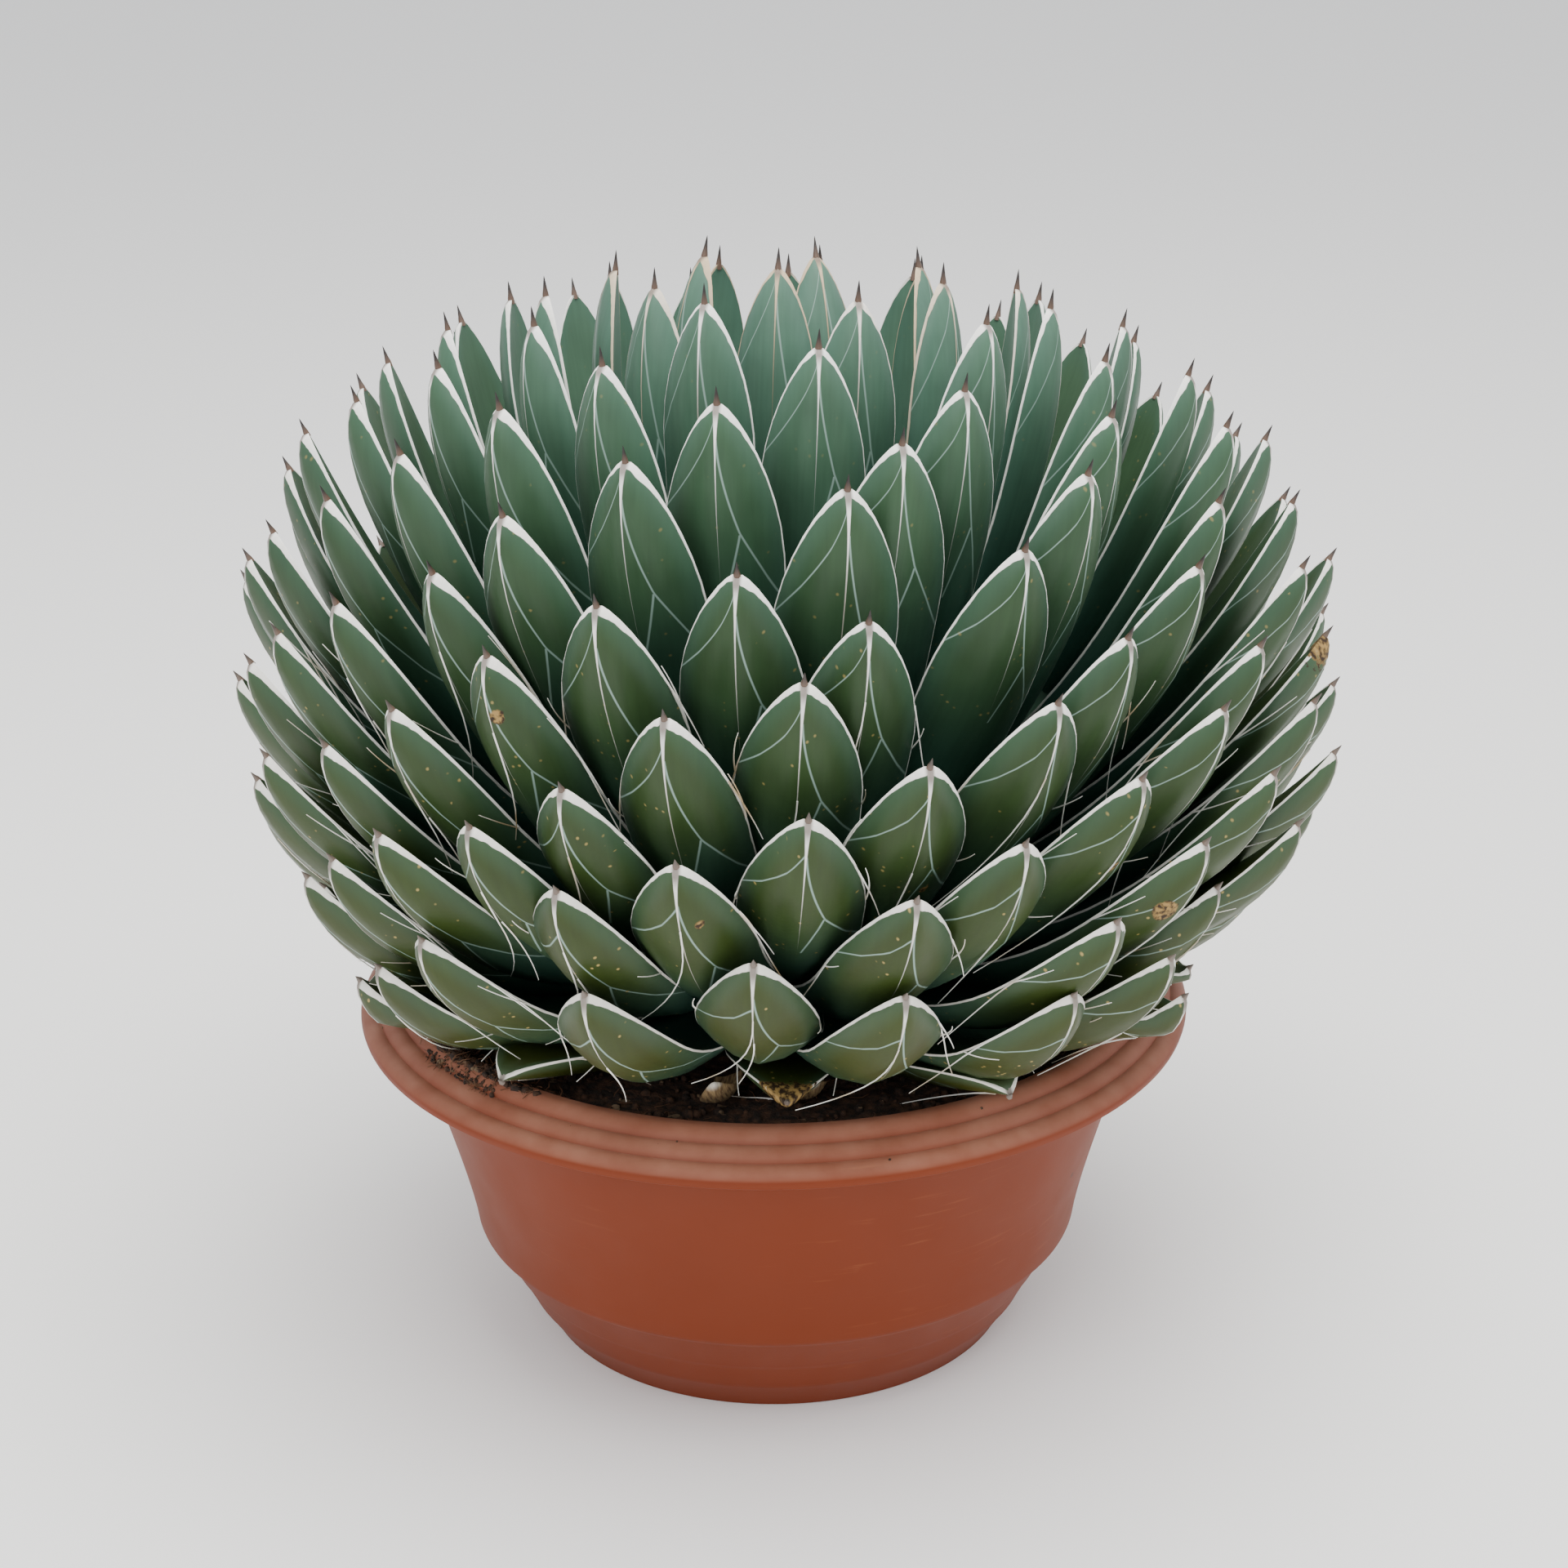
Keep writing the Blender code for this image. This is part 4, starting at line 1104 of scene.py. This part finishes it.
def coirMaterial():
    # dry reddish coir fibre
    material, tree, shader = newMaterial("coirFibre")
    place = addNode(tree, "TexCoord").node.outputs["Object"]
    colour = addNode(tree, "Mix", [addNode(tree, "TexNoise", {"Vector": place, "Scale": 60.0}),
                                   hexLinear("2a1a12"), hexLinear("84593a")], data_type="RGBA")
    tree.links.new(colour, shader.inputs["Base Color"])
    shader.inputs["Roughness"].default_value = 0.85
    return material


# the node tree that strews a pattern over a mesh at random, largest pieces fewest
def makeStrewTree():
    tree = bpy.data.node_groups.new("strew", "GeometryNodeTree")
    face = tree.interface
    face.new_socket("Geometry", in_out="INPUT", socket_type="NodeSocketGeometry")
    face.new_socket("Pattern", in_out="INPUT", socket_type="NodeSocketObject")
    face.new_socket("Surface", in_out="INPUT", socket_type="NodeSocketMaterial")
    for name in ("Density", "Smallest", "Largest", "Tilt", "Uneven"):
        face.new_socket(name, in_out="INPUT", socket_type="NodeSocketFloat")
    face.new_socket("Seed", in_out="INPUT", socket_type="NodeSocketInt")
    face.new_socket("Geometry", in_out="OUTPUT", socket_type="NodeSocketGeometry")
    given = tree.nodes.new("NodeGroupInput").outputs
    spots = addNode(tree, "GeometryNodeDistributePointsOnFaces",
                    {"Mesh": given["Geometry"], "Density": given["Density"], "Seed": given["Seed"]})
    chance = addNode(tree, "FunctionNodeRandomValue", {"Seed": given["Seed"]}, data_type="FLOAT")
    chance = addNode(tree, "Math POWER", [chance, 2.5])
    size = addNode(tree, "Mix", [chance, given["Smallest"], given["Largest"]], data_type="FLOAT")
    angles = []
    for number in (11, 12):
        seed = addNode(tree, "Math ADD", [given["Seed"], float(number)])
        node = tree.nodes.new("FunctionNodeRandomValue")
        tree.links.new(seed, node.inputs["Seed"])
        node.inputs[2].default_value = -1.0
        node.inputs[3].default_value = 1.0
        angles.append(addNode(tree, "Math MULTIPLY", [node.outputs[1], given["Tilt"]]))
    around = tree.nodes.new("FunctionNodeRandomValue")
    around.inputs[3].default_value = 2 * math.pi
    turn = addNode(tree, "CombineXYZ", [angles[0], angles[1], around.outputs[1]])
    turn = addNode(tree, "FunctionNodeEulerToRotation", [turn])
    shape = addNode(tree, "GeometryNodeObjectInfo", [given["Pattern"]]).node.outputs["Geometry"]
    flow = addNode(tree, "GeometryNodeInstanceOnPoints",
                   {"Points": spots, "Instance": shape, "Rotation": turn, "Scale": size})
    flow = addNode(tree, "GeometryNodeRealizeInstances", [flow])
    bend = addNode(tree, "TexNoise", {"Vector": addNode(tree, "GeometryNodeInputPosition"), "Scale": 300.0})
    bend = addNode(tree, "VectorMath SUBTRACT", [bend.node.outputs["Color"], (0.5, 0.5, 0.5)])
    bend = addNode(tree, "VectorMath SCALE", {"Vector": bend, "Scale": given["Uneven"]})
    flow = addNode(tree, "GeometryNodeSetPosition", {"Geometry": flow, "Offset": bend})
    flow = addNode(tree, "GeometryNodeRealizeInstances", [flow])
    flow = addNode(tree, "GeometryNodeSetMaterial", {"Geometry": flow, "Material": given["Surface"]})
    result = tree.nodes.new("NodeGroupOutput")
    tree.links.new(flow, result.inputs[0])
    return tree


# one crumb of unit size
def crumbMesh():
    bm = bmesh.new()
    bmesh.ops.create_icosphere(bm, subdivisions=1, radius=1.0)
    mesh = bpy.data.meshes.new("crumb")
    bm.to_mesh(mesh)
    bm.free()
    return mesh


# one bent strand, a unit long and lying down
def strandMesh():
    verts = []
    steps = 7
    for i in range(steps):
        part = i / (steps - 1)
        for j in range(3):
            turn = 2 * math.pi * j / 3
            verts.append((part - 0.5, 0.16 * math.sin(part * 4.2) + 0.022 * math.cos(turn),
                          0.1 * math.sin(part * math.pi) + 0.022 * math.sin(turn)))
    return meshFrom("strand", verts, ringFaces(steps, 3))


# a patch of a ring, to strew things on: turns in degrees, radii and heights at its inner and outer edge
def patchMesh(turns, inner, outer):
    verts = []
    count = 24
    for k in range(count + 1):
        turn = math.radians(turns[0] + (turns[1] - turns[0]) * k / count)
        for radius, height in (inner, outer):
            verts.append((radius * mm * math.cos(turn), radius * mm * math.sin(turn), height * mm))
    return meshFrom("patch", verts, [(2 * k, 2 * k + 1, 2 * k + 3, 2 * k + 2) for k in range(count)])


strewn = (
    # name, pattern, patch or whole bed, pieces per square metre, smallest, largest, tilt, unevenness, seed
    ("crumbs", "crumb", "bed", 26000, 0.5, 2.6, 3.1, 1.3, 3),
    ("coir", "strand", "bed", 5200, 5, 19, 0.5, 2.0, 5),
    ("bark", "crumb", "bed", 900, 2.0, 4.2, 3.1, 2.6, 8),
    ("spiltCrumbs", "crumb", "spill", 650000, 0.5, 2.6, 3.1, 1.8, 4),
    ("spiltCoir", "strand", "spill", 300000, 4, 14, 0.9, 2.5, 6),
    ("rimCrumbs", "crumb", "overRim", 900000, 0.3, 1.3, 3.1, 1.2, 14),
    ("rimCoir", "strand", "overRim", 300000, 3, 9, 0.5, 1.5, 16),
    ("rimDirt", "crumb", "rim", 1500, 0.3, 0.8, 3.1, 0.3, 9),
)


def makeSoil():
    material = soilMaterial()
    inner = [(bowl["foot"] - 2 * bowl["wall"] - 0.3 * mm, bowl["recess"] + bowl["wall"] + 0.3 * mm),
             (bowl["foot"] - 2 * mm - soil["gap"], bowl["recess"] + 1.4 * bowl["wall"]),
             (bowl["band"][0] - bowl["wall"] - soil["gap"], bowl["band"][1] + 3 * mm),
             (bowl["wallFoot"][0] - bowl["wall"] - soil["gap"], bowl["wallFoot"][1] + 1 * mm),
             (bowl["wallFoot"][0] + 10.5 * mm - bowl["wall"] - soil["gap"], 92 * mm)]
    # the stem's hole is round its own place, and the rings move to the bowl's middle on their way out
    stem = rosette["stemPlace"]
    outline = [(0, inner[0][1])] + inner + [(soil["edge"] + 1 * mm, soil["height"] - 6 * mm)]
    for k in range(soil["rings"]):
        part = k / (soil["rings"] - 1)
        outline.append((soil["edge"] + 1.2 * mm + (soil["hole"] - soil["edge"] - 1.2 * mm) * part,
                        soil["height"]))
    outline += [(soil["hole"], soil["height"] - 24.3 * mm), (0, soil["height"] - 24.3 * mm)]
    verts, faces = turned(outline, soil["sides"])
    spots = []
    for k, (x, y, z) in enumerate(verts):
        radius = math.hypot(x, y)
        shift = 0.0
        if z > soil["height"] - 25 * mm and radius < soil["edge"]:
            shift = 1 - max(0.0, radius - soil["hole"]) / (soil["edge"] - soil["hole"])
        x, y = x + stem.x * shift, y + stem.y * shift
        spots.append((x, y, soilTop(x, y) if z > soil["height"] - mm else z))
    bed = linkObject("soilBed", meshFrom("soilBed", spots, faces), material)
    pieces = [bed]
    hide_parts("soil")
    tree = makeStrewTree()
    carriers = {
        "bed": patchMesh((0, 360), (100, 150.5), (151, 150.5)),
        "spill": patchMesh((-157, -126), (144, 152.5), (162, 162)),
        "overRim": patchMesh((-150, -133), (157, 162.6), (167, 157.2)),
        "rim": patchMesh((0, 360), (159, 162.6), (179, 149.5)),
    }
    patterns = {"crumb": crumbMesh(), "strand": strandMesh()}
    surfaces = {"crumb": material, "strand": coirMaterial()}
    for name, pattern, where, density, small, large, tilt, uneven, seed in strewn:
        carrier = linkObject(name + "Bed", carriers[where])
        shape = linkObject(name + "Pattern", patterns[pattern])
        values = {"Pattern": shape, "Surface": surfaces[pattern], "Density": float(density),
                  "Smallest": small * mm, "Largest": large * mm, "Tilt": tilt,
                  "Uneven": uneven * mm, "Seed": seed}
        mesh = bakeTree(tree, carrier, values)
        mesh.shade_smooth()
        pieces.append(linkObject(name, mesh))
        for helper in (carrier, shape):
            bpy.data.objects.remove(helper, do_unlink=True)
        print(name, len(mesh.polygons), "faces")
    for piece in pieces:
        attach(piece, "root")


makeSoil()
print("soil made")
